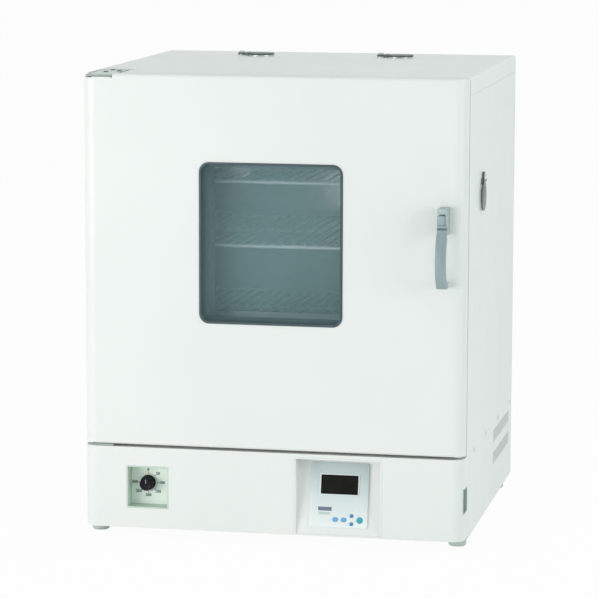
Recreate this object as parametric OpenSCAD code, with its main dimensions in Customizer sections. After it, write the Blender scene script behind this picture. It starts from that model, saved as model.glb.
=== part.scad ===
// Forced-air drying oven: an insulated cabinet with a windowed door over a low control base.
// Inside the modules x runs across the oven, y from the door's front face to the back, z up from the floor.

/* [Body] */
// Width of the cabinet, outside
body_w = 608; // [596:1:640]
// Depth from the door's front face to the back panel
body_d = 580; // [576:1:620]
// Height from the front panel's bottom edge to the top
body_h = 720; // [716:1:760]
// Radius of the rounded upright front edges of the door and the base
corner_r = 20; // [16:1:22]
// Thickness of the casing's sheet steel
sheet_t = 1.5; // [1.2:0.1:1.8]
// Bend radius of the folded sheet edges
bend_r = 4; // [3:0.5:5]
// Depth of the top cover's side flanges
cover_flange = 27; // [22:1:32]
// How far the side panels hang below the front panel
side_drop = 5; // [2:1:8]

/* [Base] */
// Height of the base front panel
base_h = 130; // [128:1:140]
// Gap between the base front panel and the door
door_seam = 4; // [4:0.5:6]
// How far the base front panel wraps round the sides
wrap_back = 50; // [46:1:60]
// Height of the feet
foot_h = 14; // [10:1:20]
// Diameter of the feet
foot_d = 28; // [22:1:34]
// Distance of the foot centres from the cabinet's sides
foot_inset = 15; // [14:1:30]

/* [Door] */
// Thickness of the door's outer shell
door_t = 30; // [29:0.5:31]
// Gap between the door and the cabinet, filled by the gasket
door_gap = 4; // [3.5:0.5:5]
// Width of the window
window_w = 224; // [190:1:240]
// Height of the window
window_h = 250; // [220:1:270]
// Sideways offset of the window from the middle of the door
window_x = -2; // [-10:1:10]
// Height of the window's middle above the middle of the door
window_up = 32; // [24:1:40]
// Corner radius of the window
window_r = 14; // [8:1:20]
// How far the door's inner plug reaches behind the shell
plug_depth = 30; // [26:1:32]
// Distance of the hinge axis from the door's left side
hinge_in = 13; // [12.5:0.5:14]
// Distance of the hinge axis from the door's front face
hinge_back = 12; // [11.5:0.5:12.5]
// Diameter of the hinge pins
hinge_pin_d = 8; // [6:0.5:9]

/* [Handle] */
// Distance of the handle from the door's right edge
handle_in = 33; // [26:0.5:40]
// Height of the handle's top above the middle of the door
handle_up = 98; // [70:1:120]
// Width of the handle bracket
handle_w = 16; // [14:0.5:18]
// How far the bracket stands out from the door
bracket_reach = 28; // [27:0.5:32]
// Length of the grip from its pivot to its lower end
grip_len = 98.5; // [92:0.5:120]
// Extra reach of the grip's bow beyond the bracket
grip_bow = 18; // [12:1:20]

/* [Chamber] */
// Thickness of the insulated side walls, from the casing to the chamber's inside
side_lag = 64; // [60:1:70]
// Thickness of the insulated top
top_lag = 54.3; // [50:0.1:58]
// Thickness of the insulated back wall
back_lag = 60.5; // [55:0.5:66]
// Insulation under the chamber
floor_lag = 50; // [46:1:52]
// Thickness of the stainless chamber sheet
liner_t = 1.2; // [1:0.1:1.5]
// Width of each slotted side air duct
duct_w = 15; // [13:1:17]
// Height of the space under the raised floor
plenum_h = 44; // [42:1:50]
// Pitch of the duct slots and the shelf steps
step_pitch = 25.6; // [24:0.2:26]
// Diameter of the fan wheel
fan_d = 150; // [130:1:156]

/* [Shelves] */
// Distance of the shelf fronts from the door's front face
shelf_front = 82; // [80:1:86]
// Gap between the shelves and the chamber's back wall
shelf_back_gap = 37.5; // [30:0.5:50]
// Pitch of the shelf wires
wire_pitch = 17; // [15:0.5:20]
// Diameter of the shelf wires
wire_d = 3; // [2.5:0.1:3.5]
// Diameter of the shelf frame rod
rod_d = 6; // [5:0.5:7]

/* [Ports] */
// Inside diameter of the port tubes
port_d = 33; // [28:1:36]
// Diameter of the lid disc over a port
lid_d = 46; // [45:0.5:50]
// Distance from a lid's pivot to the middle of its disc
lid_arm = 32; // [31:0.5:36]
// Distance of the two top ports from the middle
top_port_x = 120; // [100:1:140]
// Distance of the top ports from the cabinet's back
top_port_in = 100; // [92:1:140]
// Distance of the side port from the door's front face
side_port_y = 170; // [140:1:260]
// Height of the side port above the base front panel's bottom edge
side_port_up = 524; // [500:1:540]

/* [Controls] */
// Side of the square dial recess
dial_w = 68; // [60:1:72]
// Depth of the dial recess
dial_depth = 25; // [22:1:28]
// Distance of the dial recess from the middle, to the left
dial_x = 201; // [180:1:215]
// Diameter of the dial knob
knob_d = 24; // [20:1:28]
// Number of flutes round the knob
knob_flutes = 18; // [10:1:24]
// Width of the controller recess
ctrl_w = 140; // [130:1:150]
// Distance of the controller recess from the middle, to the right
ctrl_x = 106; // [95:1:120]
// Depth of the controller recess at its top
ctrl_depth = 29; // [24:1:31]
// Width of the controller plate
plate_w = 92; // [84:1:100]
// Width of the display window
display_w = 61; // [50:1:66]
// Height of the display window
display_h = 32; // [24:1:34]
// Travel of the controller buttons
button_travel = 0.8; // [0.5:0.1:1]
// Height of the power breaker's recess
breaker_h = 40; // [38:1:56]
// Width of the power breaker's recess
breaker_w = 31; // [28:1:34]

/* [Side vents] */
// Number of slots in each bank
vent_n = 22; // [16:1:24]
// Pitch of the slots
vent_pitch = 9; // [8:0.5:9]
// Width of each slot
vent_w = 4.5; // [3:0.5:5]
// Height of each slot
vent_h = 21; // [16:1:22]

/* [Hidden] */

enamel = [0.92, 0.94, 0.92];
plated = [0.72, 0.74, 0.73];
stainless = [0.66, 0.69, 0.69];
dark_grey = [0.28, 0.31, 0.32];
handle_grey = [0.60, 0.68, 0.70];
lid_grey = [0.45, 0.50, 0.50];
wool = [0.85, 0.80, 0.62];
black = [0.07, 0.07, 0.07];
blue = [0.40, 0.62, 0.85];

// How far a cut runs past the face it opens
over = 1;
// Clearance between pieces that slide or drop in
slip = 0.3;
// Radial clearance of a pin that turns in its bore
running = 0.05;

half_w = body_w / 2;
inner_w = half_w - sheet_t;
z_base = foot_h;
z_seam = z_base + base_h;
z_door = z_seam + door_seam;
z_top = z_base + body_h;
front_y = door_t + door_gap;
back_y = body_d - sheet_t;

// The hinge plates, and the deck that lies just over the lower one
hinge_t = 3;
hinge_x = -half_w + hinge_in;
hinge_eye_r = 9;
hinge_arm_x = hinge_x + 34;
hinge_tail_y = front_y + 76;
top_hinge_z = z_top - 1 - hinge_t;
pocket_z = z_top - 6;
bush_r = 7;
bush_h = 16;
deck_z = z_seam + hinge_t;
deck_top = deck_z + sheet_t;

// The chamber shell, centred across the oven and as large as the insulated walls leave it
chamber_y = front_y + sheet_t;
chamber_back = body_d - back_lag;
chamber_z = deck_top + floor_lag + liner_t;
chamber_top = z_top - top_lag;
chamber_h = chamber_top - chamber_z;
cham_x = half_w - side_lag;
work_x = cham_x - duct_w;
floor_z = chamber_z + plenum_h;
plug_gap = 8;
plug_x = cham_x - plug_gap;
plug_y = door_t + plug_depth;
interior_y = plug_y + 8;
duct_back = chamber_back - 8;

door_mid_z = (z_door + z_top) / 2;
window_z = door_mid_z + window_up;
glass_t = 4;
ledge = 9.5;
frame_wall = 2;

handle_x = half_w - handle_in;
handle_z = door_mid_z + handle_up;
bracket_h = 42;
lever_gap = 0.8;
pivot_drop = 25;
pivot_z = handle_z - pivot_drop;
pivot_y = -21;
lever_pin_d = 5;
grip_t = 9;

fan_y = (chamber_y + chamber_back) / 2;
fan_z = chamber_z + 6;
fan_h = 28;
shaft_d = 10;
motor_r = 42;
motor_h = 66;

port_out_r = port_d / 2 + 2;
port_flange_t = 1.5;
port_z = z_base + side_port_up;
top_port_y = body_d - top_port_in;
lid_t = 3;
lid_lift = port_flange_t + slip;
lid_boss_r = 7;
lid_screw_d = 5;
lid_screw_head = 2.5;
lid_reach = lid_lift + lid_t + slip + lid_screw_head;

screw_head_t = 1.8;
side_screw_z = deck_z - 8;
side_screw_y0 = wrap_back + 65;
side_screw_y1 = body_d - 34;
side_screw_ys = [for (k = [0, 0.32, 0.66, 1]) side_screw_y0 + k * (side_screw_y1 - side_screw_y0)];
gland_reach = 18;
gland_x = -half_w + 104;
gland_z = z_base + 56;

// The controller's sloping floor, from its lower lip to the back of its top wall
wall_t = 2.5;
ctrl_h = base_h - 5.5;
ctrl_lip = 3;
ctrl_foot_y = 2;
ctrl_rise = ctrl_h - wall_t - ctrl_lip;
ctrl_tilt = atan((ctrl_depth - ctrl_foot_y) / ctrl_rise);
ctrl_len = ctrl_rise / cos(ctrl_tilt);
plate_t = 3;
plate_low = 11.5;
plate_h = ctrl_len - plate_low - 9;
display_z = 78.5;
button_proud = 1.2;

dial_z = z_base + 66;
spindle_d = 6;
tray_wall = 2;
knob_len = 17;
knob_skirt = 3;
knob_x = -dial_x - 4.5;
breaker_y = 11;
breaker_z = z_base + 42;
breaker_depth = 12;
rocker_y = breaker_y + breaker_w / 2;
rocker_z = breaker_z + breaker_h / 2;
rocker_x = half_w - breaker_depth;

// The finished oven stands with the middle of its outline over the origin
shift_x = -(lid_reach - screw_head_t) / 2;
shift_y = -(body_d - sheet_t + gland_reach - bracket_reach - grip_bow) / 2;

module in_frame() translate([shift_x, shift_y, 0]) children();

module block(low, high) translate(low) cube(high - low);

// Extrudes a drawing of the front view from y0 back to y1
module along_y(y0, y1) translate([0, y1, 0]) rotate([90, 0, 0]) linear_extrude(y1 - y0) children();

// Extrudes a drawing of the side view, depth by height, from x0 to x1
module along_x(x0, x1) translate([x0, 0, 0]) rotate([90, 0, 90]) linear_extrude(x1 - x0) children();

// Extrudes a drawing of the plan from z0 up to z1
module along_z(z0, z1) translate([0, 0, z0]) linear_extrude(z1 - z0) children();

module round_bar(from, length, d, axis = "z")
    translate(from)
        rotate(axis == "x" ? [0, 90, 0] : axis == "y" ? [-90, 0, 0] : [0, 0, 0])
            cylinder(h = length, d = d, $fn = 48);

// A rectangle with round corners, centred
module round_rect(w, h, r) {
    square([w - 2 * r, h], center = true);
    square([w, h - 2 * r], center = true);
    for (sx = [-1, 1], sy = [-1, 1])
        translate([sx * (w / 2 - r), sy * (h / 2 - r)]) circle(r, $fn = 48);
}

// The plan of the cabinet, rounded at its two front corners, drawn in by inset and ending at depth
module plan_outline(inset = 0, depth = body_d)
    intersection() {
        union() {
            translate([-half_w + corner_r, inset]) square([body_w - 2 * corner_r, body_d]);
            translate([-half_w + inset, corner_r]) square([body_w - 2 * inset, body_d]);
            for (side = [-1, 1])
                translate([side * (half_w - corner_r), corner_r]) circle(corner_r - inset, $fn = 96);
        }
        translate([-half_w, 0]) square([body_w, depth]);
    }

module mirrored() {
    children();
    mirror([1, 0, 0]) children();
}

// Casing

module cover_section(inset) {
    r = bend_r - inset;
    translate([-half_w + inset, -cover_flange - (inset > 0 ? over : 0)])
        square([body_w - 2 * inset, cover_flange - bend_r + (inset > 0 ? over : 0)]);
    translate([-half_w + bend_r, -bend_r - over]) square([body_w - 2 * bend_r, bend_r + over - inset]);
    for (side = [-1, 1])
        translate([side * (half_w - bend_r), -bend_r]) circle(r, $fn = 48);
}

module top_cover() {
    color(enamel) in_frame() difference() {
        translate([0, 0, z_top]) along_y(front_y, body_d) cover_section(0);
        translate([0, 0, z_top]) along_y(front_y - over, body_d - sheet_t) cover_section(sheet_t);
        block([-inner_w + slip, front_y - over, z_top - 3],
              [hinge_arm_x + 8, hinge_tail_y + slip, z_top + over]);
        for (side = [-1, 1]) {
            round_bar([side * top_port_x, top_port_y, z_top - 5], 10, 2 * port_out_r + 0.6);
            round_bar([side * top_port_x - lid_arm, top_port_y, z_top - 5], 10, lid_screw_d + 0.2);
        }
    }
}

module vent_bank(z_low, x) {
    for (i = [0:vent_n - 1])
        translate([x - over, side_screw_y1 - (vent_n - i) * vent_pitch, z_low])
            cube([sheet_t + 2 * over, vent_w, vent_h]);
}

module side_panel() {
    top_z = z_top - cover_flange - slip;
    difference() {
        union() {
            block([inner_w, wrap_back + slip, z_base - side_drop], [half_w, body_d, z_seam]);
            block([inner_w, front_y, z_seam], [half_w, body_d, top_z]);
            block([inner_w - sheet_t, front_y + 3, top_z - 12],
                  [inner_w, back_y - sheet_t, z_top - bend_r - 2]);
            block([inner_w - 14, back_y, z_base - side_drop], [half_w, body_d, top_z]);
        }
        vent_bank(z_base + 54.5, inner_w);
        vent_bank(z_base + 91.5, inner_w);
        for (y = side_screw_ys)
            round_bar([inner_w - 3, y, side_screw_z], 8, 4.4, "x");
    }
}

module left_side_panel() {
    color(enamel) in_frame() mirror([1, 0, 0]) side_panel();
}

module right_side_panel() {
    color(enamel) in_frame() difference() {
        side_panel();
        round_bar([inner_w - 5, side_port_y, port_z], 12, 2 * port_out_r + 0.6, "x");
        round_bar([inner_w - 5, side_port_y, port_z + lid_arm], 12, lid_screw_d + 0.2, "x");
    }
}

module back_panel() {
    slot_n = 18;
    color(enamel) in_frame() difference() {
        block([-inner_w, back_y - sheet_t, z_base], [inner_w, back_y, z_top - sheet_t]);
        for (i = [0:slot_n - 1], row = [0, 1])
            block([20 + i * 12, back_y - 5, z_base + 40 + row * 42],
                  [25 + i * 12, back_y + over, z_base + 74 + row * 42]);
        round_bar([gland_x, back_y - 10, gland_z], 20, 20.2, "y");
    }
}

// The face frame round the chamber's mouth, with the seat of the upper hinge
module front_frame() {
    color(plated) in_frame() difference() {
        union() {
            block([-inner_w, front_y, z_seam], [inner_w, front_y + sheet_t, z_top - bend_r]);
            block([-inner_w + bend_r, front_y, z_top - bend_r - over],
                  [inner_w - bend_r, front_y + sheet_t, z_top - sheet_t]);
            block([-inner_w + bend_r, front_y + sheet_t, top_hinge_z - 8],
                  [hinge_arm_x + 8, hinge_tail_y, top_hinge_z]);
        }
        block([-cham_x, front_y - over, chamber_z], [cham_x, front_y + sheet_t + over, chamber_top]);
        block([-inner_w - over, front_y - over, z_seam - over],
              [hinge_arm_x + slip, front_y + sheet_t + over, z_seam + hinge_t]);
        block([-inner_w - over, front_y - over, top_hinge_z],
              [hinge_arm_x + 8.5, front_y + sheet_t + over, z_top]);
        block([catch_x - 7, front_y - over, catch_z - 17],
              [catch_x + 7, front_y + sheet_t + over, catch_z + 17]);
        hinge_screw_holes(top_hinge_z - 9, 10);
    }
}

module base_front_panel() {
    color(enamel) in_frame() difference() {
        union() {
            along_z(z_base, z_seam) difference() {
                plan_outline(0, wrap_back);
                plan_outline(sheet_t, wrap_back + over);
            }
            along_z(z_seam - sheet_t, z_seam) plan_outline(sheet_t / 2, wrap_back);
            along_z(z_base, z_base + sheet_t) plan_outline(sheet_t / 2, sheet_t + 10);
        }
        along_y(-over, sheet_t + over) translate([-dial_x, dial_z]) square(dial_w + 0.4, center = true);
        block([ctrl_x - ctrl_w / 2 - 0.2, -over, z_base - over],
              [ctrl_x + ctrl_w / 2 + 0.2, wrap_back + over, z_base + ctrl_h + 0.2]);
        block([half_w - 14, breaker_y - 0.2, breaker_z - 0.2],
              [half_w + over, breaker_y + breaker_w + 0.2, breaker_z + breaker_h + 0.2]);
    }
}

module bottom_plate() {
    color(plated) in_frame() difference() {
        along_z(z_base, z_base + sheet_t) intersection() {
            plan_outline(sheet_t);
            union() {
                translate([-inner_w, sheet_t + 10]) square([2 * inner_w, back_y - 2 * sheet_t - 10]);
                translate([ctrl_x - ctrl_w / 2, ctrl_foot_y + 4]) square([ctrl_w, 20]);
            }
        }
        for (x = [-1, 1] * (half_w - foot_inset), y = [foot_front, foot_rear])
            round_bar([x, y, z_base - over], 5, 5.4);
    }
}

// The deck between the chamber's insulation and the base, with flanges for the side screws
module deck_plate() {
    color(plated) in_frame() difference() {
        union() {
            block([-inner_w, front_y + sheet_t, deck_z], [inner_w, back_y - sheet_t, deck_top]);
            for (side = [0, 1]) mirror([side, 0, 0])
                block([inner_w - sheet_t, wrap_back + 10, deck_z - 18], [inner_w, back_y - sheet_t, deck_z]);
        }
        round_bar([0, fan_y, deck_z - over], 5, shaft_d + 8);
        for (x = [-1, 1] * heater_r)
            round_bar([x, fan_y, deck_z - over], 5, heater_rod + 2 * slip);
        for (y = side_screw_ys)
            round_bar([-half_w, y, side_screw_z], body_w, 4.4, "x");
    }
}

foot_front = 45;
foot_rear = body_d - 90;

module feet() {
    color([0.62, 0.68, 0.65]) in_frame()
        for (x = [-1, 1] * (half_w - foot_inset), y = [foot_front, foot_rear])
            translate([x, y, 0]) union() {
                rotate_extrude($fn = 64) polygon([
                    [0, 0], [foot_d / 2 - 2, 0], [foot_d / 2, 2], [foot_d / 2, foot_h - 5],
                    [foot_d / 2 - 2, foot_h], [0, foot_h]
                ]);
                cylinder(h = foot_h + sheet_t + 4, d = 5, $fn = 32);
                translate([0, 0, foot_h + sheet_t]) cylinder(h = 4, d = 9, $fn = 6);
            }
}

// Chamber

heater_r = 98;
heater_rod = 8;
probe_x = 150;
probe_z = chamber_top - 30;
probe_d = 5;
probe_in = 70;
probe_tail = 40;
mouth_lip = 9;
seam = 0.05;

// The chamber's five sheets, with lips round its mouth, seam-welded at their edges
module inner_chamber() {
    out_x = cham_x + liner_t;
    low_z = chamber_z - liner_t;
    high_z = chamber_top + liner_t;
    between = cham_x - seam;
    color(stainless) in_frame() difference() {
        union() {
            mirrored() {
                block([cham_x, chamber_y, low_z], [out_x, chamber_back + liner_t, high_z]);
                block([cham_x, chamber_y, low_z - mouth_lip],
                      [out_x + mouth_lip, chamber_y + liner_t, high_z + mouth_lip]);
            }
            block([-between, chamber_y, chamber_top], [between, chamber_back - seam, high_z]);
            block([-between, chamber_y, chamber_top], [between, chamber_y + liner_t, high_z + mouth_lip]);
            block([-between, chamber_y, low_z], [between, chamber_back - seam, chamber_z]);
            block([-between, chamber_y, low_z - mouth_lip], [between, chamber_y + liner_t, chamber_z]);
            block([-between, chamber_back, low_z], [between, chamber_back + liner_t, high_z]);
        }
        for (side = [-1, 1]) {
            round_bar([side * top_port_x, top_port_y, chamber_top - 5], 10, 2 * port_out_r + 0.6);
            round_bar([side * heater_r, fan_y, chamber_z - 5], 10, heater_rod + 2 * slip);
        }
        round_bar([cham_x - 5, side_port_y, port_z], 12, 2 * port_out_r + 0.6, "x");
        round_bar([0, fan_y, chamber_z - 5], 10, shaft_d + 8);
        round_bar([probe_x, chamber_back - 5, probe_z], 12, probe_d + 0.6, "y");
    }
}

module insulation() {
    lag_x = inner_w - sheet_t - 0.5;
    lag_y = chamber_y + liner_t + slip;
    out_x = cham_x + liner_t + slip;
    under = chamber_z - deck_top + over;
    color(wool) in_frame() difference() {
        block([-lag_x, lag_y, deck_top], [lag_x, back_y - sheet_t - slip, z_top - bend_r - 3]);
        block([-out_x, lag_y - over, chamber_z - liner_t - slip],
              [out_x, chamber_back + liner_t + slip, chamber_top + liner_t + slip]);
        block([-lag_x - over, lag_y - over, top_hinge_z - 8 - slip],
              [hinge_arm_x + 9, hinge_tail_y + slip, z_top]);
        block([catch_x - 18, lag_y - over, catch_z - 30], [lag_x + over, front_y + 45, catch_z + 30]);
        for (side = [-1, 1]) {
            round_bar([side * top_port_x, top_port_y, chamber_top], top_lag, 2 * port_out_r + 0.6);
            round_bar([side * top_port_x - lid_arm, top_port_y, z_top - 14], 20, lid_screw_d + 1);
            round_bar([side * heater_r, fan_y, deck_top - over], under, heater_rod + 2 * slip);
        }
        round_bar([cham_x, side_port_y, port_z], side_lag, 2 * port_out_r + 0.6, "x");
        round_bar([inner_w - 12, side_port_y, port_z + lid_arm], 20, lid_screw_d + 1, "x");
        round_bar([0, fan_y, deck_top - over], under, shaft_d + 8);
        round_bar([probe_x, chamber_back, probe_z], back_lag, probe_d + 0.6, "y");
    }
}

// One side duct: a folded channel on the chamber wall with rows of horizontal slots
module air_duct() {
    top_z = chamber_top - slip;
    rows = floor((top_z - floor_z - 30) / step_pitch);
    margin = 29;
    bridge = 28;
    slot_l = (duct_back - interior_y - 2 * margin - 2 * bridge) / 3;
    difference() {
        union() {
            block([work_x, interior_y, floor_z], [work_x + 1, duct_back, top_z]);
            for (y = [interior_y, duct_back - 1])
                block([work_x, y, chamber_z], [cham_x, y + 1, top_z]);
            block([work_x, interior_y, top_z - 1], [cham_x, duct_back, top_z]);
        }
        for (i = [0:rows - 1], k = [0:2])
            translate([work_x - over, interior_y + margin + k * (slot_l + bridge),
                       floor_z + 20 + i * step_pitch])
                cube([1 + 2 * over, slot_l, 5]);
    }
}

module left_air_duct() {
    color(stainless) in_frame() mirror([1, 0, 0]) air_duct();
}

module right_air_duct() {
    color(stainless) in_frame() difference() {
        air_duct();
        round_bar([work_x - 5, side_port_y, port_z], 10, port_d + 1, "x");
    }
}

// The raised floor: a folded plate with the fan's intake grille and two rows of slots
module chamber_floor() {
    holes_r = [14, 26, 38, 50];
    slot_l = 22;
    slot_step = 34;
    slots = floor((2 * work_x - slot_step) / slot_step);
    first_x = -((slots - 1) * slot_step + slot_l) / 2;
    color(stainless) in_frame() difference() {
        union() {
            block([-work_x + slip, interior_y, floor_z - 1.2], [work_x - slip, duct_back, floor_z]);
            for (y = [interior_y, duct_back - 1.2])
                block([-work_x + slip, y, chamber_z], [work_x - slip, y + 1.2, floor_z]);
        }
        round_bar([0, fan_y, floor_z - 5], 10, 12);
        for (r = holes_r)
            for (a = [0:360 / (r / 2 - 1):359])
                translate([r * cos(a), fan_y + r * sin(a), floor_z - 5]) cylinder(h = 10, d = 8, $fn = 24);
        for (i = [0:slots - 1], y = [interior_y + 30, duct_back - 40])
            translate([first_x + i * slot_step, y, floor_z - 5]) cube([slot_l, 6, 5 + over]);
    }
}

// Heights of the shelves: whole steps above the raised floor
lower_step = 3;
middle_step = 8;
upper_step = 12;

function shelf_z(step) = floor_z + 7.5 + step * step_pitch;

shelf_x = work_x - 2.5;
shelf_d = chamber_back - shelf_back_gap - shelf_front;
rail_w = 12;

module shelf_rail(z)
    mirrored() {
        block([work_x - 1.5, shelf_front - 4, z - 1.5], [work_x, shelf_front + shelf_d + 4, z + 8]);
        block([work_x - rail_w, shelf_front - 4, z - 1.5], [work_x, shelf_front + shelf_d + 4, z]);
    }

module shelf_rails() {
    color(stainless) in_frame()
        for (step = [lower_step, middle_step, upper_step]) shelf_rail(shelf_z(step));
}

// A wire shelf: a rod frame, two cross rods under the wires, and wires from front to back
module wire_shelf(step) {
    r = rod_d / 2;
    zc = shelf_z(step) + r;
    half = shelf_x - r;
    back = shelf_front + shelf_d;
    wires = floor((2 * half - 10) / wire_pitch / 2);
    for (y = [shelf_front + r, shelf_front + shelf_d / 2, back - r])
        round_bar([-half, y, zc], 2 * half, rod_d, "x");
    for (x = [-half, half])
        round_bar([x, shelf_front + r, zc], shelf_d - rod_d, rod_d, "y");
    for (x = [-half, half], y = [shelf_front + r, back - r])
        translate([x, y, zc]) sphere(d = rod_d, $fn = 48);
    for (i = [-wires:wires])
        round_bar([i * wire_pitch, shelf_front + r, zc + r - 0.4], shelf_d - rod_d, wire_d, "y");
}

module upper_shelf() {
    color(plated) in_frame() wire_shelf(upper_step);
}

module middle_shelf() {
    color(plated) in_frame() wire_shelf(middle_step);
}

module lower_shelf() {
    color(plated) in_frame() wire_shelf(lower_step);
}

// Fan, heater and probe

// A centrifugal wheel: back disc with its hub, forward-curved blades and a front ring
module fan_wheel() {
    r = fan_d / 2;
    blades = 24;
    blade_in = r - 16;
    bow_r = 13;
    color(plated) in_frame() translate([0, fan_y, fan_z]) difference() {
        union() {
            cylinder(h = 1.5, r = r, $fn = 96);
            cylinder(h = 16, r = 14, $fn = 48);
            for (i = [0:blades - 1]) rotate(i * 360 / blades)
                linear_extrude(fan_h - 1) intersection() {
                    translate([(r + blade_in) / 2, 9]) difference() {
                        circle(bow_r, $fn = 48);
                        circle(bow_r - 1.2, $fn = 48);
                    }
                    translate([blade_in, -bow_r]) square([r - 0.5 - blade_in, 12]);
                }
            translate([0, 0, fan_h - 1.5]) difference() {
                cylinder(h = 1.5, r = r, $fn = 96);
                translate([0, 0, -over]) cylinder(h = 5, r = blade_in, $fn = 96);
            }
        }
        translate([0, 0, -over]) cylinder(h = 30, d = shaft_d + 0.1, $fn = 48);
    }
}

motor_top = deck_z;
motor_bore = 42;

module fan_shaft() {
    low = motor_top - motor_bore + 2;
    color(plated) in_frame() union() {
        round_bar([0, fan_y, low], fan_z + 22 - low, shaft_d);
        round_bar([0, fan_y, fan_z + 16 + slip], 4, 16);
    }
}

module fan_motor() {
    color(dark_grey) in_frame() translate([0, fan_y, motor_top]) difference() {
        union() {
            translate([0, 0, -3]) cylinder(h = 3, r = motor_r + 10, $fn = 96);
            translate([0, 0, -motor_h]) cylinder(h = motor_h - 2, r = motor_r, $fn = 96);
            translate([0, 0, -motor_h - 6]) cylinder(h = 8, r = 16, $fn = 64);
            for (i = [0:23]) rotate(i * 15)
                translate([motor_r - 1, -1, -motor_h + 8]) cube([4, 2, motor_h - 16]);
        }
        translate([0, 0, -motor_bore]) cylinder(h = motor_bore + over, r = shaft_d / 2 + running, $fn = 64);
    }
}

// The heater: a rod bent into two rings round the fan, joined by lugs, on two stems
module heater() {
    z = chamber_z + 24;
    color(dark_grey) in_frame() translate([0, fan_y, 0]) union() {
        for (dz = [0, 14])
            translate([0, 0, z + dz]) rotate_extrude($fn = 128)
                translate([heater_r, 0]) circle(d = heater_rod, $fn = 32);
        for (x = [-1, 1] * heater_r)
            round_bar([x, 0, deck_z - 12], z + 14 - deck_z + 12, heater_rod);
    }
}

module temperature_probe() {
    color(stainless) in_frame() union() {
        round_bar([probe_x, chamber_back - probe_in, probe_z], probe_in + probe_tail, probe_d, "y");
        round_bar([probe_x, chamber_back - 3, probe_z], 3, 18, "y");
    }
}

// Dial

module dial_tray() {
    w = dial_w;
    color([0.66, 0.73, 0.69]) in_frame() difference() {
        along_y(0, dial_depth + tray_wall) translate([-dial_x, dial_z]) square(w, center = true);
        along_y(-over, dial_depth) translate([-dial_x, dial_z]) square(w - 2 * tray_wall, center = true);
        round_bar([knob_x, dial_depth - over, dial_z + 3], 5, spindle_d + 2, "y");
    }
}

// The fluted knob, its skirt and the spindle it turns
module dial_knob() {
    r = knob_d / 2;
    color(black) in_frame() translate([knob_x, dial_depth - 1, dial_z + 3]) rotate([90, 0, 0]) difference() {
        union() {
            cylinder(h = knob_len, r = r - 0.5, $fn = 96);
            cylinder(h = knob_skirt, r = r + 0.3, $fn = 96);
            translate([0, 0, knob_len]) cylinder(h = 1.2, r = r - 2.2, $fn = 96);
            translate([0, 0, -26]) cylinder(h = 27, d = spindle_d, $fn = 48);
        }
        for (i = [0:knob_flutes - 1]) rotate(i * 360 / knob_flutes)
            translate([r + 0.3, 0, knob_skirt + 0.6]) cylinder(h = knob_len + 2, r = 1.6, $fn = 24);
        translate([-0.6, 2, knob_len + 0.6]) cube([1.2, r, 3]);
    }
}

module thermostat_body() {
    y = dial_depth + tray_wall;
    color(dark_grey) in_frame() difference() {
        union() {
            block([knob_x - 20, y + 2, dial_z - 18], [knob_x + 20, y + 30, dial_z + 24]);
            round_bar([knob_x, y, dial_z + 3], 3, 14, "y");
            for (side = [-1, 1])
                translate([knob_x + side * 12 - 3, y + 29, dial_z - 4]) cube([6, 9, 1]);
        }
        round_bar([knob_x, y - over, dial_z + 3], 26, spindle_d + 2 * running, "y");
    }
}

// Controller

// Draws on the sloping floor: x across, z up the slope, y out of the back
module on_slope() translate([ctrl_x, ctrl_foot_y, z_base + ctrl_lip]) rotate([-ctrl_tilt, 0, 0]) children();

board_y = wall_t + 6;

module controller_housing() {
    back = ctrl_depth + wall_t;
    top_z = z_base + ctrl_h;
    low_y = ctrl_foot_y + 3.5;
    color(enamel) in_frame() difference() {
        union() {
            difference() {
                along_x(ctrl_x - ctrl_w / 2, ctrl_x + ctrl_w / 2) polygon([
                    [0, z_base], [0, top_z], [back, top_z], [back, top_z - wall_t], [low_y, z_base]
                ]);
                along_x(ctrl_x - ctrl_w / 2 + wall_t, ctrl_x + ctrl_w / 2 - wall_t) polygon([
                    [-over, z_base + ctrl_lip], [ctrl_foot_y, z_base + ctrl_lip],
                    [ctrl_depth, top_z - wall_t], [-over, top_z - wall_t]
                ]);
            }
            on_slope() for (x = [-1, 1] * (plate_w / 2 - 8), z = [16, ctrl_len - 22])
                translate([x, 1, z]) rotate([-90, 0, 0]) cylinder(h = board_y - 1, d = 6, $fn = 32);
        }
        on_slope() block([-display_w / 2 - 1, -over, display_z - display_h / 2 - 1],
                         [display_w / 2 + 1, board_y, display_z + display_h / 2 + 1]);
        on_slope() for (b = buttons) translate([b[0], 0, b[1]]) block([-2, -over, -2], [2, 5, 2]);
    }
}

// Place on the plate, width and height of each button
buttons = [[34, 23.9, 9.6, 9.6], [-5, 23.7, 8.6, 6.4], [8.5, 23.7, 8.6, 6.4], [21, 30.2, 5, 5], [21, 17.5, 5, 5]];

module button_outline(b, grow = 0) {
    w = b[2] + 2 * grow;
    h = b[3] + 2 * grow;
    if (b[2] > 9)
        circle(d = w, $fn = 48);
    else
        round_rect(w, h, (b[2] > 6 ? b[3] / 2 - 0.01 : 1) + grow);
}

module controller_plate() {
    color([0.80, 0.85, 0.87]) in_frame() on_slope() difference() {
        along_y(-plate_t, 0) translate([0, plate_low + plate_h / 2]) round_rect(plate_w, plate_h, 3);
        along_y(-plate_t - over, over) translate([0, display_z])
            square([display_w + 2 * slip, display_h + 2 * slip], center = true);
        for (b = buttons)
            along_y(-plate_t - over, over) translate([b[0], b[1]]) button_outline(b, 0.25);
    }
}

module display_module() {
    color(black) in_frame() on_slope() difference() {
        union() {
            along_y(-plate_t - 0.6, -0.5) translate([0, display_z])
                square([display_w, display_h], center = true);
            along_y(-0.6, board_y - slip) translate([0, display_z])
                square([display_w - 2, display_h - 2], center = true);
        }
        along_y(-plate_t - over, -plate_t + 0.4) translate([0, display_z])
            square([display_w - 4, display_h - 4], center = true);
    }
}

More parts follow.
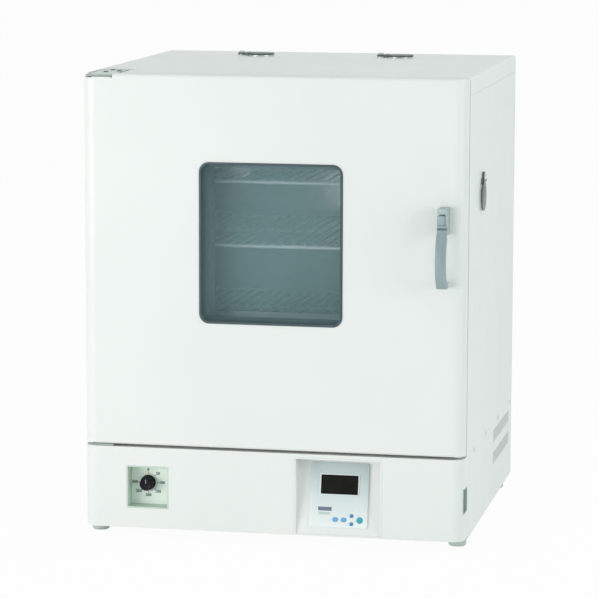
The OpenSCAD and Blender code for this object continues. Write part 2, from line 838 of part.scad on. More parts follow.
module controller_button(b) {
    color(blue) in_frame() on_slope() union() {
        along_y(-plate_t - button_proud, -button_travel - 0.1) translate([b[0], b[1]]) button_outline(b);
        along_y(-1.5, 1.5) translate([b[0], b[1]]) circle(d = 2.4, $fn = 24);
    }
}

module start_button() controller_button(buttons[0]);
module left_button() controller_button(buttons[1]);
module right_button() controller_button(buttons[2]);
module up_button() controller_button(buttons[3]);
module down_button() controller_button(buttons[4]);

module controller_board() {
    color([0.12, 0.36, 0.22]) in_frame() on_slope() union() {
        block([-plate_w / 2, board_y, 10], [plate_w / 2, board_y + 1.6, ctrl_len - 16]);
        block([-30, board_y + 1.6, 62], [-8, board_y + 9, 82]);
        block([6, board_y + 1.6, 54], [30, board_y + 5, 78]);
        for (x = [-34, -22, -10])
            translate([x, board_y + 1.6, 32]) rotate([-90, 0, 0]) cylinder(h = 9, d = 8, $fn = 32);
    }
}

// Power

module breaker_body() {
    y0 = breaker_y;
    y1 = breaker_y + breaker_w;
    z0 = breaker_z;
    z1 = breaker_z + breaker_h;
    color(dark_grey) in_frame() difference() {
        intersection() {
            union() {
                block([rocker_x - 3, y0, z0], [half_w, y1, z1]);
                block([rocker_x - 34, y0 + 4, z0 + 4], [rocker_x - 2, y1 - 2, z1 - 4]);
            }
            along_z(z0 - over, z1 + over) plan_outline(0);
        }
        block([rocker_x, y0 + 2, z0 + 2], [half_w + over, y1 - 2, z1 - 2]);
        block([rocker_x - 12, rocker_y - 7.5, rocker_z - 13.5],
              [rocker_x + over, rocker_y + 7.5, rocker_z + 13.5]);
        round_bar([rocker_x - 2, rocker_y - 10, rocker_z], 20, 3 + 2 * running, "y");
    }
}

// A see-saw rocker on a cross pin, at rest with its lower end in
module breaker_rocker() {
    color(black) in_frame() translate([rocker_x - 2, rocker_y, rocker_z]) rotate([0, 9, 0]) union() {
        rotate([90, 0, 0]) linear_extrude(14, center = true) polygon([
            [4, -11], [2.5, 0], [4, 11], [-3, 11], [-6, 3], [-6, -3], [-3, -11]
        ]);
        rotate([90, 0, 0]) cylinder(h = 19, d = 3, center = true, $fn = 48);
    }
}

module terminal_block() {
    color([0.85, 0.85, 0.80]) in_frame()
    translate([gland_x - 50, back_y - 120, z_base + sheet_t]) difference() {
        union() {
            cube([90, 28, 18]);
            for (i = [0:6]) translate([i * 14.6, 0, 0]) cube([2.4, 28, 24]);
        }
        for (i = [0:5], y = [7, 21])
            translate([i * 14.6 + 8.5, y, 14]) cylinder(h = 20, d = 6, $fn = 24);
    }
}

module relay_module() {
    color(dark_grey) in_frame() translate([gland_x + 70, back_y - 178, z_base + sheet_t]) union() {
        cube([80, 60, 6]);
        for (i = [0:9]) translate([i * 8.6, 0, 5]) cube([2.4, 60, 26]);
        translate([14, 12, 30]) cube([46, 36, 22]);
    }
}

module power_gland() {
    color(black) in_frame() translate([gland_x, back_y, gland_z]) rotate([-90, 0, 0]) difference() {
        union() {
            translate([0, 0, -12]) cylinder(h = 13, d = 19.6, $fn = 48);
            translate([0, 0, -sheet_t - 5]) cylinder(h = 5, d = 27, $fn = 6);
            cylinder(h = 6, d = 27, $fn = 6);
            translate([0, 0, 6]) cylinder(h = gland_reach - 6, d1 = 24, d2 = 17, $fn = 48);
        }
        translate([0, 0, -20]) cylinder(h = 60, d = 9, $fn = 48);
    }
}

// Ports and their lids

// One port tube from its flange at z = 0 down to length
module port_tube(length) difference() {
    union() {
        translate([0, 0, -length]) cylinder(h = length + port_flange_t, r = port_out_r, $fn = 96);
        cylinder(h = port_flange_t, r = port_out_r + 3, $fn = 96);
    }
    translate([0, 0, -length - over]) cylinder(h = length + 10, d = port_d, $fn = 96);
}

// A swinging lid over a port at the origin, its pivot at minus x
module port_lid() translate([0, 0, lid_lift]) difference() {
    union() {
        cylinder(h = lid_t, d = lid_d, $fn = 96);
        translate([-lid_arm, 0, 0]) cylinder(h = lid_t, r = lid_boss_r, $fn = 64);
        translate([-lid_arm, -6, 0]) cube([lid_arm, 12, lid_t]);
        translate([-lid_arm + 5, 0, 0]) cube([6, 22, lid_t]);
        translate([-lid_arm + 8, 22, 0]) cylinder(h = lid_t, r = 3, $fn = 32);
    }
    translate([-lid_arm, 0, -over]) cylinder(h = 20, r = lid_screw_d / 2 + running, $fn = 48);
}

module lid_screw() translate([-lid_arm, 0, 0]) union() {
    translate([0, 0, -9]) cylinder(h = 9 + lid_lift + lid_t + 1, d = lid_screw_d, $fn = 48);
    cylinder(h = port_flange_t, r = lid_boss_r, $fn = 48);
    translate([0, 0, lid_lift + lid_t + slip]) cylinder(h = lid_screw_head, r1 = 5.5, r2 = 4.5, $fn = 48);
}

module on_top(side) translate([side * top_port_x, top_port_y, z_top]) children();
module on_side() translate([half_w, side_port_y, port_z]) rotate([0, 90, 0]) children();

module exhaust_tubes() {
    color(stainless) in_frame()
        for (side = [-1, 1]) on_top(side) port_tube(z_top - chamber_top);
}

module side_port_tube() {
    color(stainless) in_frame() on_side() port_tube(half_w - cham_x);
}

module left_port_lid() {
    color(lid_grey) in_frame() on_top(-1) port_lid();
}

module right_port_lid() {
    color(lid_grey) in_frame() on_top(1) port_lid();
}

module side_port_lid() {
    color(lid_grey) in_frame() on_side() port_lid();
}

module lid_pivot_screws() {
    color(plated) in_frame() {
        for (side = [-1, 1]) on_top(side) lid_screw();
        on_side() lid_screw();
    }
}

// A domed screw at the origin, its head towards plus z
module pan_screw(head_d, shank_d, length) {
    translate([0, 0, screw_head_t / 2])
        cylinder(h = screw_head_t / 2, d1 = head_d, d2 = head_d * 0.6, $fn = 32);
    cylinder(h = screw_head_t / 2, d = head_d, $fn = 32);
    translate([0, 0, -length]) cylinder(h = length, d = shank_d, $fn = 24);
}

module casing_screws() {
    color(plated) in_frame()
        for (side = [-1, 1], y = side_screw_ys)
            translate([side * half_w, y, side_screw_z]) rotate([0, side * 90, 0]) pan_screw(7.5, 4, 8);
}

// Places its children at the upper hinge plate's three screws
module at_hinge_screws(z)
    for (i = [0:2])
        translate([hinge_x + 12 + (i % 2) * 16, front_y + 22 + i * 22, z]) children();

module hinge_screw_holes(z, depth)
    at_hinge_screws(z) cylinder(h = depth, d = 5.4, $fn = 32);

module hinge_screws() {
    color(plated) in_frame() at_hinge_screws(top_hinge_z + hinge_t) pan_screw(8.5, 5, 9);
}

// Hinges

// The plan of a hinge plate: a round eye round the pin, an arm over the door and a tail on the cabinet
module hinge_plan(tail_y) {
    translate([hinge_x, hinge_back]) circle(hinge_eye_r, $fn = 64);
    translate([hinge_x, hinge_back - hinge_eye_r])
        square([hinge_arm_x - hinge_x, tail_y - hinge_back + hinge_eye_r]);
    translate([hinge_x - hinge_eye_r, hinge_back]) square([hinge_eye_r + 1, tail_y - hinge_back]);
}

module upper_hinge_plate() {
    color([0.42, 0.47, 0.45]) in_frame() difference() {
        union() {
            along_z(top_hinge_z, top_hinge_z + hinge_t) hinge_plan(hinge_tail_y);
            round_bar([hinge_x, hinge_back, pocket_z - bush_h + 2],
                      top_hinge_z - pocket_z + bush_h - 1, hinge_pin_d);
        }
        hinge_screw_holes(top_hinge_z - over, 10);
    }
}

module lower_hinge_plate() {
    color([0.42, 0.47, 0.45]) in_frame() union() {
        along_z(z_seam, z_seam + hinge_t) hinge_plan(wrap_back - 4);
        round_bar([hinge_x, hinge_back, z_seam + 1], door_seam + bush_h - 3, hinge_pin_d);
    }
}

module bush() difference() {
    union() {
        translate([0, 0, -bush_h]) cylinder(h = bush_h, r = bush_r, $fn = 64);
        cylinder(h = 0.7, r = bush_r + 2, $fn = 64);
    }
    translate([0, 0, -bush_h - over]) cylinder(h = bush_h + 5, r = hinge_pin_d / 2 + running, $fn = 64);
}

module hinge_bushes() {
    color([0.80, 0.66, 0.35]) in_frame() {
        translate([hinge_x, hinge_back, pocket_z]) bush();
        translate([hinge_x, hinge_back, z_door]) mirror([0, 0, 1]) bush();
    }
}

// Catch: a flat tongue on the door, and a twin roller catch behind the front frame

catch_x = half_w - 19;
catch_z = handle_z - 26;

module roller_catch() {
    y1 = front_y + 40;
    z1 = 24;
    color(plated) in_frame() translate([catch_x, 0, catch_z]) union() {
        difference() {
            block([-12, chamber_y, -z1], [12, y1, z1]);
            block([-6, chamber_y - over, -z1 + 3], [6, y1 - 3, z1 - 3]);
        }
        for (side = [-1, 1]) translate([0, chamber_y + 10, side * 12.4]) rotate([0, 90, 0])
            cylinder(h = 13, r = 4, center = true, $fn = 48);
    }
}

// Door

// The door's plan drawn in by inset, its rear corners rounded to clear the cabinet as it swings
module door_plan(inset) {
    q = rear_r;
    plan_outline(inset, door_t - q);
    translate([-half_w + q, corner_r]) square([body_w - 2 * q, door_t - corner_r - inset]);
    for (side = [-1, 1])
        translate([side * (half_w - q), door_t - q]) circle(q - inset, $fn = 48);
}

// The door's outer form drawn in by inset, rounded along its front top and bottom edges too
module door_form(inset) intersection() {
    along_z(z_door + inset, z_top - inset) door_plan(inset);
    along_x(-half_w, half_w) {
        r = bend_r - inset;
        translate([bend_r, z_door + inset]) square([door_t, body_h - base_h - door_seam - 2 * inset]);
        translate([inset, z_door + bend_r]) square([door_t, body_h - base_h - door_seam - 2 * bend_r]);
        for (z = [z_door + bend_r, z_top - bend_r])
            translate([bend_r, z]) circle(r, $fn = 48);
    }
}

pocket_x = hinge_arm_x + 2;
rear_r = 3;
rim = 12;

module door_skin() {
    color(enamel) in_frame() difference() {
        union() {
            difference() {
                door_form(0);
                door_form(sheet_t);
                block([-inner_w + rim, door_t - sheet_t - over, z_door + rim],
                      [inner_w - rim, door_t + over, z_top - rim]);
            }
            intersection() {
                door_form(0);
                block([-half_w, 0, pocket_z - sheet_t], [pocket_x + sheet_t, door_t, z_top]);
            }
        }
        block([-half_w - over, -over, pocket_z], [pocket_x, door_t + over, z_top + over]);
        for (z = [z_door - over, pocket_z - 5])
            round_bar([hinge_x, hinge_back, z], 8, 2 * bush_r + 0.2);
        along_y(-over, 5) translate([window_x, window_z])
            round_rect(window_w + 0.4, window_h + 0.4, window_r + 0.2);
    }
}

module window_hole(y0, y1, grow = 0)
    along_y(y0, y1) translate([window_x, window_z])
        round_rect(window_w + 2 * grow, window_h + 2 * grow, window_r + grow);

// The stainless inner face of the door, pressed into a shallow pan that enters the chamber's mouth
module door_liner() {
    edge = inner_w - 3;
    y0 = door_t - 2 * sheet_t;
    color(stainless) in_frame() difference() {
        union() {
            block([-edge, y0, z_door + 5], [edge, door_t - sheet_t, z_top - 5]);
            block([-plug_x, y0, chamber_z + plug_gap], [plug_x, plug_y, chamber_top - plug_gap]);
            block([catch_x - 4.5, y0, catch_z - 7.9], [catch_x + 4.5, door_t + 18, catch_z + 7.9]);
        }
        block([-plug_x + liner_t, 0, chamber_z + plug_gap + liner_t],
              [plug_x - liner_t, plug_y - liner_t, chamber_top - plug_gap - liner_t]);
        block([-half_w, 0, pocket_z - sheet_t - slip], [pocket_x + sheet_t + slip, door_t + over, z_top]);
        window_hole(0, plug_y + over, 0.2);
    }
}

module door_insulation() {
    near = sheet_t + slip;
    color(wool) in_frame() difference() {
        union() {
            block([-half_w + corner_r, near, z_door + 22],
                  [half_w - corner_r, door_t - 2 * sheet_t - slip, z_top - 26]);
            block([-plug_x + liner_t + slip, near, chamber_z + plug_gap + liner_t + slip],
                  [plug_x - liner_t - slip, plug_y - liner_t - slip, chamber_top - plug_gap - liner_t - slip]);
        }
        window_hole(0, plug_y + over, slip);
    }
}

module door_gasket() {
    y1 = front_y - slip;
    in_x = cham_x + 3;
    out_x = cham_x + 17;
    color([0.82, 0.84, 0.82]) in_frame() difference() {
        along_y(door_t, y1) translate([0, (chamber_z + chamber_top) / 2])
            round_rect(2 * out_x, chamber_h + 34, 12);
        along_y(door_t - over, y1 + over) translate([0, (chamber_z + chamber_top) / 2])
            round_rect(2 * in_x, chamber_h + 6, 4);
    }
}

// The window's deep dark surround, with a bead on the door's face and a ledge that holds the inner pane
module window_frame() {
    bead = 2;
    bead_t = 1;
    color(dark_grey) in_frame() difference() {
        union() {
            window_hole(-bead_t, plug_y + 1.5);
            window_hole(-bead_t, 0, bead);
            window_hole(plug_y, plug_y + 1.5, 4);
        }
        window_hole(-bead_t - over, plug_y - 8, -frame_wall);
        window_hole(0, plug_y + 5, -frame_wall - ledge);
        window_hole(plug_y - 6.2, plug_y + 5, -frame_wall);
    }
}

module window_panes() {
    color([0.45, 0.55, 0.56, 0.5]) in_frame() {
        window_hole(3, 3 + glass_t, -frame_wall - 0.2);
        window_hole(plug_y - 6, plug_y - 6 + glass_t, -frame_wall - 0.2);
    }
}

// Handle

module at_handle() translate([handle_x, 0, 0]) children();

module handle_bracket() {
    z0 = handle_z - bracket_h;
    slot_top = handle_z - 8.5;
    color([0.66, 0.72, 0.71]) in_frame() at_handle() union() {
        difference() {
            along_y(-bracket_reach, 0) translate([0, (z0 + handle_z) / 2]) round_rect(handle_w, bracket_h, 2);
            block([-handle_w / 2 - over, -bracket_reach - over, z0 - over], [handle_w / 2 - 3, -7, slot_top]);
        }
        round_bar([-handle_w / 2 + 0.4, pivot_y, pivot_z], handle_w - 1.4, lever_pin_d, "x");
    }
}

// The pull lever: a tongue in the bracket, a bowed grip that widens below it and a foot turned back to the door
module handle_lever() {
    side = handle_w / 2;
    tongue_side = side - 3 - lever_gap;
    shoulder_z = handle_z - bracket_h - 3;
    tongue_top = handle_z - 11;
    grip_top = pivot_z - 10;
    grip_low = pivot_z - grip_len;
    half = (grip_top - grip_low) / 2;
    mid_z = (grip_top + grip_low) / 2;
    bow_r = (half * half + grip_bow * grip_bow) / (2 * grip_bow);
    bow_y = -bracket_reach - grip_bow + bow_r;
    color(handle_grey) in_frame() at_handle() difference() {
        union() {
            along_x(-side, side) {
                translate([-bracket_reach, grip_top - 1]) square([12, tongue_top - grip_top + 1]);
                intersection() {
                    translate([bow_y, mid_z]) difference() {
                        circle(bow_r, $fn = 160);
                        circle(bow_r - grip_t, $fn = 160);
                    }
                    translate([-bracket_reach - grip_bow - over, grip_low])
                        square([bow_r, grip_top - grip_low]);
                }
            }
            block([-side, -bracket_reach + 1, grip_low], [side, -10, grip_low + 9]);
        }
        block([tongue_side, -bracket_reach - grip_bow - over, shoulder_z], [side + over, over, handle_z]);
        round_bar([-handle_w, pivot_y, pivot_z], 2 * handle_w, lever_pin_d + 2 * running, "x");
    }
}

top_cover();
left_side_panel();
right_side_panel();
back_panel();
front_frame();
base_front_panel();
bottom_plate();
deck_plate();
feet();
inner_chamber();
insulation();
left_air_duct();
right_air_duct();
chamber_floor();
shelf_rails();
upper_shelf();
middle_shelf();
lower_shelf();
fan_wheel();
fan_shaft();
fan_motor();
heater();
temperature_probe();
dial_tray();
dial_knob();
thermostat_body();
controller_housing();
controller_plate();
display_module();
controller_board();
start_button();
left_button();
right_button();
up_button();
down_button();
breaker_body();
breaker_rocker();
terminal_block();
relay_module();
power_gland();
exhaust_tubes();
side_port_tube();
left_port_lid();
right_port_lid();
side_port_lid();
lid_pivot_screws();
casing_screws();
hinge_screws();
upper_hinge_plate();
lower_hinge_plate();
roller_catch();
door_skin();
door_liner();
door_insulation();
door_gasket();
hinge_bushes();
window_frame();
window_panes();
handle_bracket();
handle_lever();
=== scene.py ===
import math

import bmesh
import bpy
from mathutils import Matrix, Vector


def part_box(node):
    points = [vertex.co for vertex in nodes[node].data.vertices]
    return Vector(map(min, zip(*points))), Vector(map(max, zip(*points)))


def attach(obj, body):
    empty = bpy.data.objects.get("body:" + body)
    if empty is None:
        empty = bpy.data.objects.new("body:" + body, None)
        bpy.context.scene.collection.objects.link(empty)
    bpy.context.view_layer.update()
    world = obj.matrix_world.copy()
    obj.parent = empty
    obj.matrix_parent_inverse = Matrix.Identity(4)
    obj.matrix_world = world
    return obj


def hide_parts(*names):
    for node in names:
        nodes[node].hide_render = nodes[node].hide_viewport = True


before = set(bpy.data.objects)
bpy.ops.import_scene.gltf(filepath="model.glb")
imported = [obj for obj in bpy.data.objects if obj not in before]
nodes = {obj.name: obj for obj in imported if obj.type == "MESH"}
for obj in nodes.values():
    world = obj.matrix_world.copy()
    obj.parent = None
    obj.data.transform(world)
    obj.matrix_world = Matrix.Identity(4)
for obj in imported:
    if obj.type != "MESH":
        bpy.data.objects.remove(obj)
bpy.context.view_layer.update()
mm = 0.001


# The studio
# A white sweep with soft daylight from a large window on the left, as a catalogue photograph is lit.
# The camera stands to the right of the oven, a little above it, with a long lens.
def new_material(name):
    """A node material, its tree and its main shader."""
    material = bpy.data.materials.new(name)
    material.use_nodes = True
    tree = material.node_tree
    return material, tree, tree.nodes["Principled BSDF"]


def linked(name, data):
    """A new object with its data, in the scene."""
    thing = bpy.data.objects.new(name, data)
    bpy.context.scene.collection.objects.link(thing)
    return thing


def backdrop_material():
    """White to the camera, through glass and in reflections, and a plain pale floor to all other light."""
    material, tree, shader = new_material("white_sweep")
    shader.inputs["Base Color"].default_value = (0.86, 0.87, 0.86, 1)
    shader.inputs["Roughness"].default_value = 0.9
    path = tree.nodes.new("ShaderNodeLightPath")
    glow = tree.nodes.new("ShaderNodeEmission")
    glow.inputs["Color"].default_value = (1, 1, 1, 1)
    seen = tree.nodes.new("ShaderNodeMath")
    seen.operation = "MAXIMUM"
    mirrored = tree.nodes.new("ShaderNodeMath")
    mirrored.operation = "MAXIMUM"
    share = tree.nodes.new("ShaderNodeMath")
    share.operation = "MULTIPLY"
    share.inputs[1].default_value = 0.95  # how white it looks
    mix = tree.nodes.new("ShaderNodeMixShader")
    tree.links.new(path.outputs["Is Camera Ray"], seen.inputs[0])
    tree.links.new(path.outputs["Is Glossy Ray"], mirrored.inputs[0])
    tree.links.new(path.outputs["Is Transmission Ray"], mirrored.inputs[1])
    tree.links.new(mirrored.outputs[0], seen.inputs[1])
    tree.links.new(seen.outputs[0], share.inputs[0])
    tree.links.new(share.outputs[0], mix.inputs["Fac"])
    tree.links.new(shader.outputs[0], mix.inputs[1])
    tree.links.new(glow.outputs[0], mix.inputs[2])
    tree.links.new(mix.outputs[0], tree.nodes["Material Output"].inputs["Surface"])
    return material


def add_floor():
    """The sweep: a wide plain floor that turns up far behind the oven."""
    half_width, front, back, height, turn = 9.0, -7.0, 7.0, 7.0, 2.0
    steps = 12
    profile = [(front, 0.0), (back - turn, 0.0)]
    for i in range(1, steps + 1):
        a = math.pi / 2 * i / steps
        profile.append((back - turn + turn * math.sin(a), turn - turn * math.cos(a)))
    profile.append((back, height))
    verts = [(x, y, z) for y, z in profile for x in (-half_width, half_width)]
    faces = [(2 * i, 2 * i + 1, 2 * i + 3, 2 * i + 2) for i in range(len(profile) - 1)]
    mesh = bpy.data.meshes.new("sweep")
    mesh.from_pydata(verts, [], faces)
    mesh.materials.append(backdrop_material())
    sweep = linked("sweep", mesh)


def add_softbox(name, place, target, width, height, power, tint=(1, 1, 1)):
    """A rectangular soft lamp that faces its target."""
    lamp = bpy.data.lights.new(name, "AREA")
    lamp.color = tint
    lamp.shape = "RECTANGLE"
    lamp.size = width
    lamp.size_y = height
    lamp.energy = power
    holder = linked(name, lamp)
    holder.location = place
    holder.rotation_euler = (Vector(target) - Vector(place)).to_track_quat("-Z", "Y").to_euler()


def light_world():
    """Even, slightly cool light from all round, seen as white by the camera."""
    world = bpy.data.worlds.new("daylight")
    world.use_nodes = True
    tree = world.node_tree
    background = tree.nodes["Background"]
    background.inputs["Color"].default_value = (0.91, 1.0, 0.985, 1)
    background.inputs["Strength"].default_value = 0.63
    white = tree.nodes.new("ShaderNodeBackground")
    white.inputs["Color"].default_value = (1, 1, 1, 1)
    white.inputs["Strength"].default_value = 0.975
    path = tree.nodes.new("ShaderNodeLightPath")
    mix = tree.nodes.new("ShaderNodeMixShader")
    tree.links.new(path.outputs["Is Camera Ray"], mix.inputs["Fac"])
    tree.links.new(background.outputs[0], mix.inputs[1])
    tree.links.new(white.outputs[0], mix.inputs[2])
    tree.links.new(mix.outputs[0], tree.nodes["World Output"].inputs["Surface"])
    bpy.context.scene.world = world


def add_camera():
    """The photograph's viewpoint, worked out from the cabinet's edges."""
    place = Vector((0.9448, -4.8019, 1.0738))
    yaw, pitch, roll = 0.1972, 0.1472, -0.0024
    focal_px, frame_px = 3002.6, 598
    ahead = Vector((-math.sin(yaw) * math.cos(pitch), math.cos(yaw) * math.cos(pitch), -math.sin(pitch)))
    right = Vector((math.cos(yaw), math.sin(yaw), 0))
    down = ahead.cross(right)
    side = math.cos(roll) * right + math.sin(roll) * down
    up = math.sin(roll) * right - math.cos(roll) * down
    camera = bpy.data.cameras.new("camera")
    camera.sensor_width = 36
    camera.lens = 36 * focal_px / frame_px
    holder = linked("camera", camera)
    holder.matrix_world = Matrix.Translation(place) @ Matrix((side, up, -ahead)).transposed().to_4x4()
    bpy.context.scene.camera = holder


bpy.context.scene.view_settings.view_transform = "Standard"
add_floor()
light_world()
add_softbox("window_light", (-2.7, -3.1, 0.5), (0, 0, -0.05), 2.6, 1.1, 68, (1, 0.975, 0.965))
add_softbox("right_fill", (3.6, -1.6, 0.9), (0, 0, 0.2), 2.0, 1.6, 35, (0.93, 1, 0.98))
add_softbox("ceiling_light", (0.2, 0.3, 3.6), (0, 0, 0.5), 2.4, 2.4, 19, (0.95, 1, 0.99))
add_camera()


# The casing sheets
# Folded steel sheet 1.5 mm thick: top cover, two side panels, back panel and base front panel.
# All are powder-coated off-white, with the fine orange-peel skin of a baked coat.
def noise(tree, scale, detail=2.0, stretch=(1, 1, 1)):
    """A noise pattern on the piece's own metres, drawn out along an axis by stretch."""
    place = tree.nodes.new("ShaderNodeTexCoord")
    mapping = tree.nodes.new("ShaderNodeMapping")
    mapping.inputs["Scale"].default_value = stretch
    pattern = tree.nodes.new("ShaderNodeTexNoise")
    pattern.inputs["Scale"].default_value = scale
    pattern.inputs["Detail"].default_value = detail
    tree.links.new(place.outputs["Object"], mapping.inputs["Vector"])
    tree.links.new(mapping.outputs["Vector"], pattern.inputs["Vector"])
    return pattern.outputs["Fac"]


def ramp(tree, value, low, high, start=0.35, end=0.65):
    """A colour between low and high by value."""
    node = tree.nodes.new("ShaderNodeValToRGB")
    node.color_ramp.elements[0].position = start
    node.color_ramp.elements[0].color = (*low, 1)
    node.color_ramp.elements[1].position = end
    node.color_ramp.elements[1].color = (*high, 1)
    tree.links.new(value, node.inputs["Fac"])
    return node.outputs["Color"]


def spread(tree, value, low, high):
    """A number between low and high by value."""
    node = tree.nodes.new("ShaderNodeMapRange")
    node.inputs["From Min"].default_value = 0.3
    node.inputs["From Max"].default_value = 0.7
    node.inputs["To Min"].default_value = low
    node.inputs["To Max"].default_value = high
    tree.links.new(value, node.inputs["Value"])
    return node.outputs["Result"]


def relief(tree, shader, value, strength, depth):
    """Turns value into a bump of that depth, in metres."""
    node = tree.nodes.new("ShaderNodeBump")
    node.inputs["Strength"].default_value = strength
    node.inputs["Distance"].default_value = depth
    tree.links.new(value, node.inputs["Height"])
    tree.links.new(node.outputs["Normal"], shader.inputs["Normal"])


def powder_coat(name, low, high, roughness=(0.36, 0.46), peel=520, depth=0.00003):
    """Baked powder coat: a nearly even colour over fine orange peel."""
    material, tree, shader = new_material(name)
    tree.links.new(ramp(tree, noise(tree, 3.2, 3), low, high), shader.inputs["Base Color"])
    tree.links.new(spread(tree, noise(tree, 24, 2), *roughness), shader.inputs["Roughness"])
    relief(tree, shader, noise(tree, peel, 1), 0.35, depth)
    return material


def finish(name, material):
    """Gives a CAD node its material."""
    node = nodes[name]
    node.data.materials.clear()
    node.data.materials.append(material)
    for polygon in node.data.polygons:
        polygon.material_index = 0


enamel = powder_coat("off_white_enamel", (0.805, 0.811, 0.80), (0.828, 0.83, 0.82))
for name in ("top_cover", "left_side_panel", "right_side_panel", "back_panel", "base_front_panel"):
    finish(name, enamel)


# The hidden steel sheets
# The face frame round the chamber's mouth, the deck and the bottom plate are bright zinc-plated steel.
# The zinc shows faint crystals and dulls to grey between them.
def plated_steel(name, low, high, roughness=(0.28, 0.42), crystals=160):
    """Zinc plating with a faint crystal pattern."""
    material, tree, shader = new_material(name)
    place = tree.nodes.new("ShaderNodeTexCoord")
    cells = tree.nodes.new("ShaderNodeTexVoronoi")
    cells.inputs["Scale"].default_value = crystals
    tree.links.new(place.outputs["Object"], cells.inputs["Vector"])
    colour = ramp(tree, cells.outputs["Distance"], low, high, 0.1, 0.7)
    tree.links.new(colour, shader.inputs["Base Color"])
    tree.links.new(spread(tree, noise(tree, 40, 3), *roughness), shader.inputs["Roughness"])
    shader.inputs["Metallic"].default_value = 1.0
    relief(tree, shader, noise(tree, 300, 2), 0.2, 0.00002)
    return material


zinc = plated_steel("zinc_plate", (0.54, 0.56, 0.56), (0.62, 0.64, 0.63))
for name in ("front_frame", "deck_plate", "bottom_plate", "roller_catch"):
    finish(name, zinc)


# The chamber, its ducts and the raised floor
# Stainless sheet 1 to 1.2 mm thick with a brushed grain, folded, slotted and spot-welded.
# The grain runs along each sheet, and its grey varies a little from place to place.
def brushed_steel(name, low, high, grain=(4, 4, 240), roughness=(0.24, 0.40)):
    """Brushed stainless steel, its grain drawn out along the axes with a small stretch."""
    material, tree, shader = new_material(name)
    lines = noise(tree, 14, 3, grain)
    tree.links.new(ramp(tree, noise(tree, 6, 3), low, high), shader.inputs["Base Color"])
    tree.links.new(spread(tree, lines, *roughness), shader.inputs["Roughness"])
    shader.inputs["Metallic"].default_value = 1.0
    relief(tree, shader, lines, 0.25, 0.00002)
    return material


stainless = brushed_steel("brushed_stainless", (0.70, 0.74, 0.74), (0.78, 0.81, 0.80))
for name in ("inner_chamber", "left_air_duct", "right_air_duct", "chamber_floor", "shelf_rails",
             "exhaust_tubes", "side_port_tube", "temperature_probe", "door_liner"):
    finish(name, stainless)


# The mineral wool
# Loose-fibre blankets packed between the chamber and the casing, and inside the door.
# Yellowish, with short fibres that lie every way.
def wool_material():
    """Packed mineral wool."""
    material, tree, shader = new_material("mineral_wool")
    fibres = noise(tree, 420, 6, (1, 1, 2.5))
    colour = ramp(tree, fibres, (0.46, 0.40, 0.22), (0.70, 0.64, 0.42))
    tree.links.new(colour, shader.inputs["Base Color"])
    shader.inputs["Roughness"].default_value = 0.95
    relief(tree, shader, fibres, 0.9, 0.0008)
    return material


wool = wool_material()
finish("insulation", wool)
finish("door_insulation", wool)


# The wire shelves
# Bright nickel-plated steel wire: a rod frame with the thin wires welded across it.
# The plating is satin-bright, with light scuffs where trays slide.
def nickel_wire():
    """Bright plated wire with light scuffs."""
    material, tree, shader = new_material("nickel_wire")
    tree.links.new(ramp(tree, noise(tree, 30, 3), (0.90, 0.91, 0.90), (0.96, 0.97, 0.96)),
                   shader.inputs["Base Color"])
    tree.links.new(spread(tree, noise(tree, 120, 4), 0.26, 0.44), shader.inputs["Roughness"])
    shader.inputs["Metallic"].default_value = 0.25
    relief(tree, shader, noise(tree, 500, 2), 0.15, 0.00002)
    return material


bright_wire = nickel_wire()
for name in ("upper_shelf", "middle_shelf", "lower_shelf"):
    finish(name, bright_wire)


# Fan, motor and heater
# A riveted sheet wheel on a turned shaft, a ribbed cast motor case under the deck, and a sheathed heater.
# The heater's sheath is oxidised to a warm grey-brown by use.
fan_steel = plated_steel("fan_steel", (0.50, 0.51, 0.50), (0.64, 0.65, 0.64), (0.25, 0.35), 90)
finish("fan_wheel", fan_steel)
finish("fan_shaft", bright_wire)
motor_paint = powder_coat("motor_paint", (0.05, 0.055, 0.06), (0.075, 0.08, 0.085), (0.5, 0.62), 300,
                          0.00006)
finish("fan_motor", motor_paint)


def oxidised_sheath():
    """A heater sheath, oxidised unevenly."""
    material, tree, shader = new_material("oxidised_sheath")
    tree.links.new(ramp(tree, noise(tree, 18, 4), (0.10, 0.085, 0.075), (0.23, 0.20, 0.18)),
                   shader.inputs["Base Color"])
    tree.links.new(spread(tree, noise(tree, 60, 3), 0.45, 0.65), shader.inputs["Roughness"])
    shader.inputs["Metallic"].default_value = 0.7
    relief(tree, shader, noise(tree, 700, 3), 0.3, 0.00004)
    return material


finish("heater", oxidised_sheath())


# Moulded plastic pieces
# Feet, cord gland, terminal block, breaker and thermostat case are moulded, with a finely eroded skin.
# The feet and the breaker's cup are a pale grey-green, the terminal block is cream, the rest dark.
def moulded(name, low, high, roughness=(0.42, 0.55), grain=900, gloss=0.5):
    """Injection-moulded plastic with an eroded surface."""
    material, tree, shader = new_material(name)
    tree.links.new(ramp(tree, noise(tree, 12, 2), low, high), shader.inputs["Base Color"])
    tree.links.new(spread(tree, noise(tree, 60, 2), *roughness), shader.inputs["Roughness"])
    shader.inputs["Specular IOR Level"].default_value = gloss
    relief(tree, shader, noise(tree, grain, 2), 0.3, 0.00003)
    return material


foot_plastic = moulded("foot_plastic", (0.48, 0.56, 0.51), (0.53, 0.61, 0.56))
black_plastic = moulded("black_plastic", (0.012, 0.012, 0.013), (0.02, 0.02, 0.022))
grey_case = moulded("grey_case", (0.10, 0.11, 0.11), (0.13, 0.14, 0.14))
cream_plastic = moulded("cream_plastic", (0.62, 0.61, 0.54), (0.68, 0.67, 0.60))
finish("feet", foot_plastic)
finish("power_gland", black_plastic)
finish("terminal_block", cream_plastic)
finish("relay_module", grey_case)
finish("thermostat_body", grey_case)
finish("breaker_body", moulded("breaker_cup", (0.41, 0.49, 0.44), (0.45, 0.53, 0.48)))


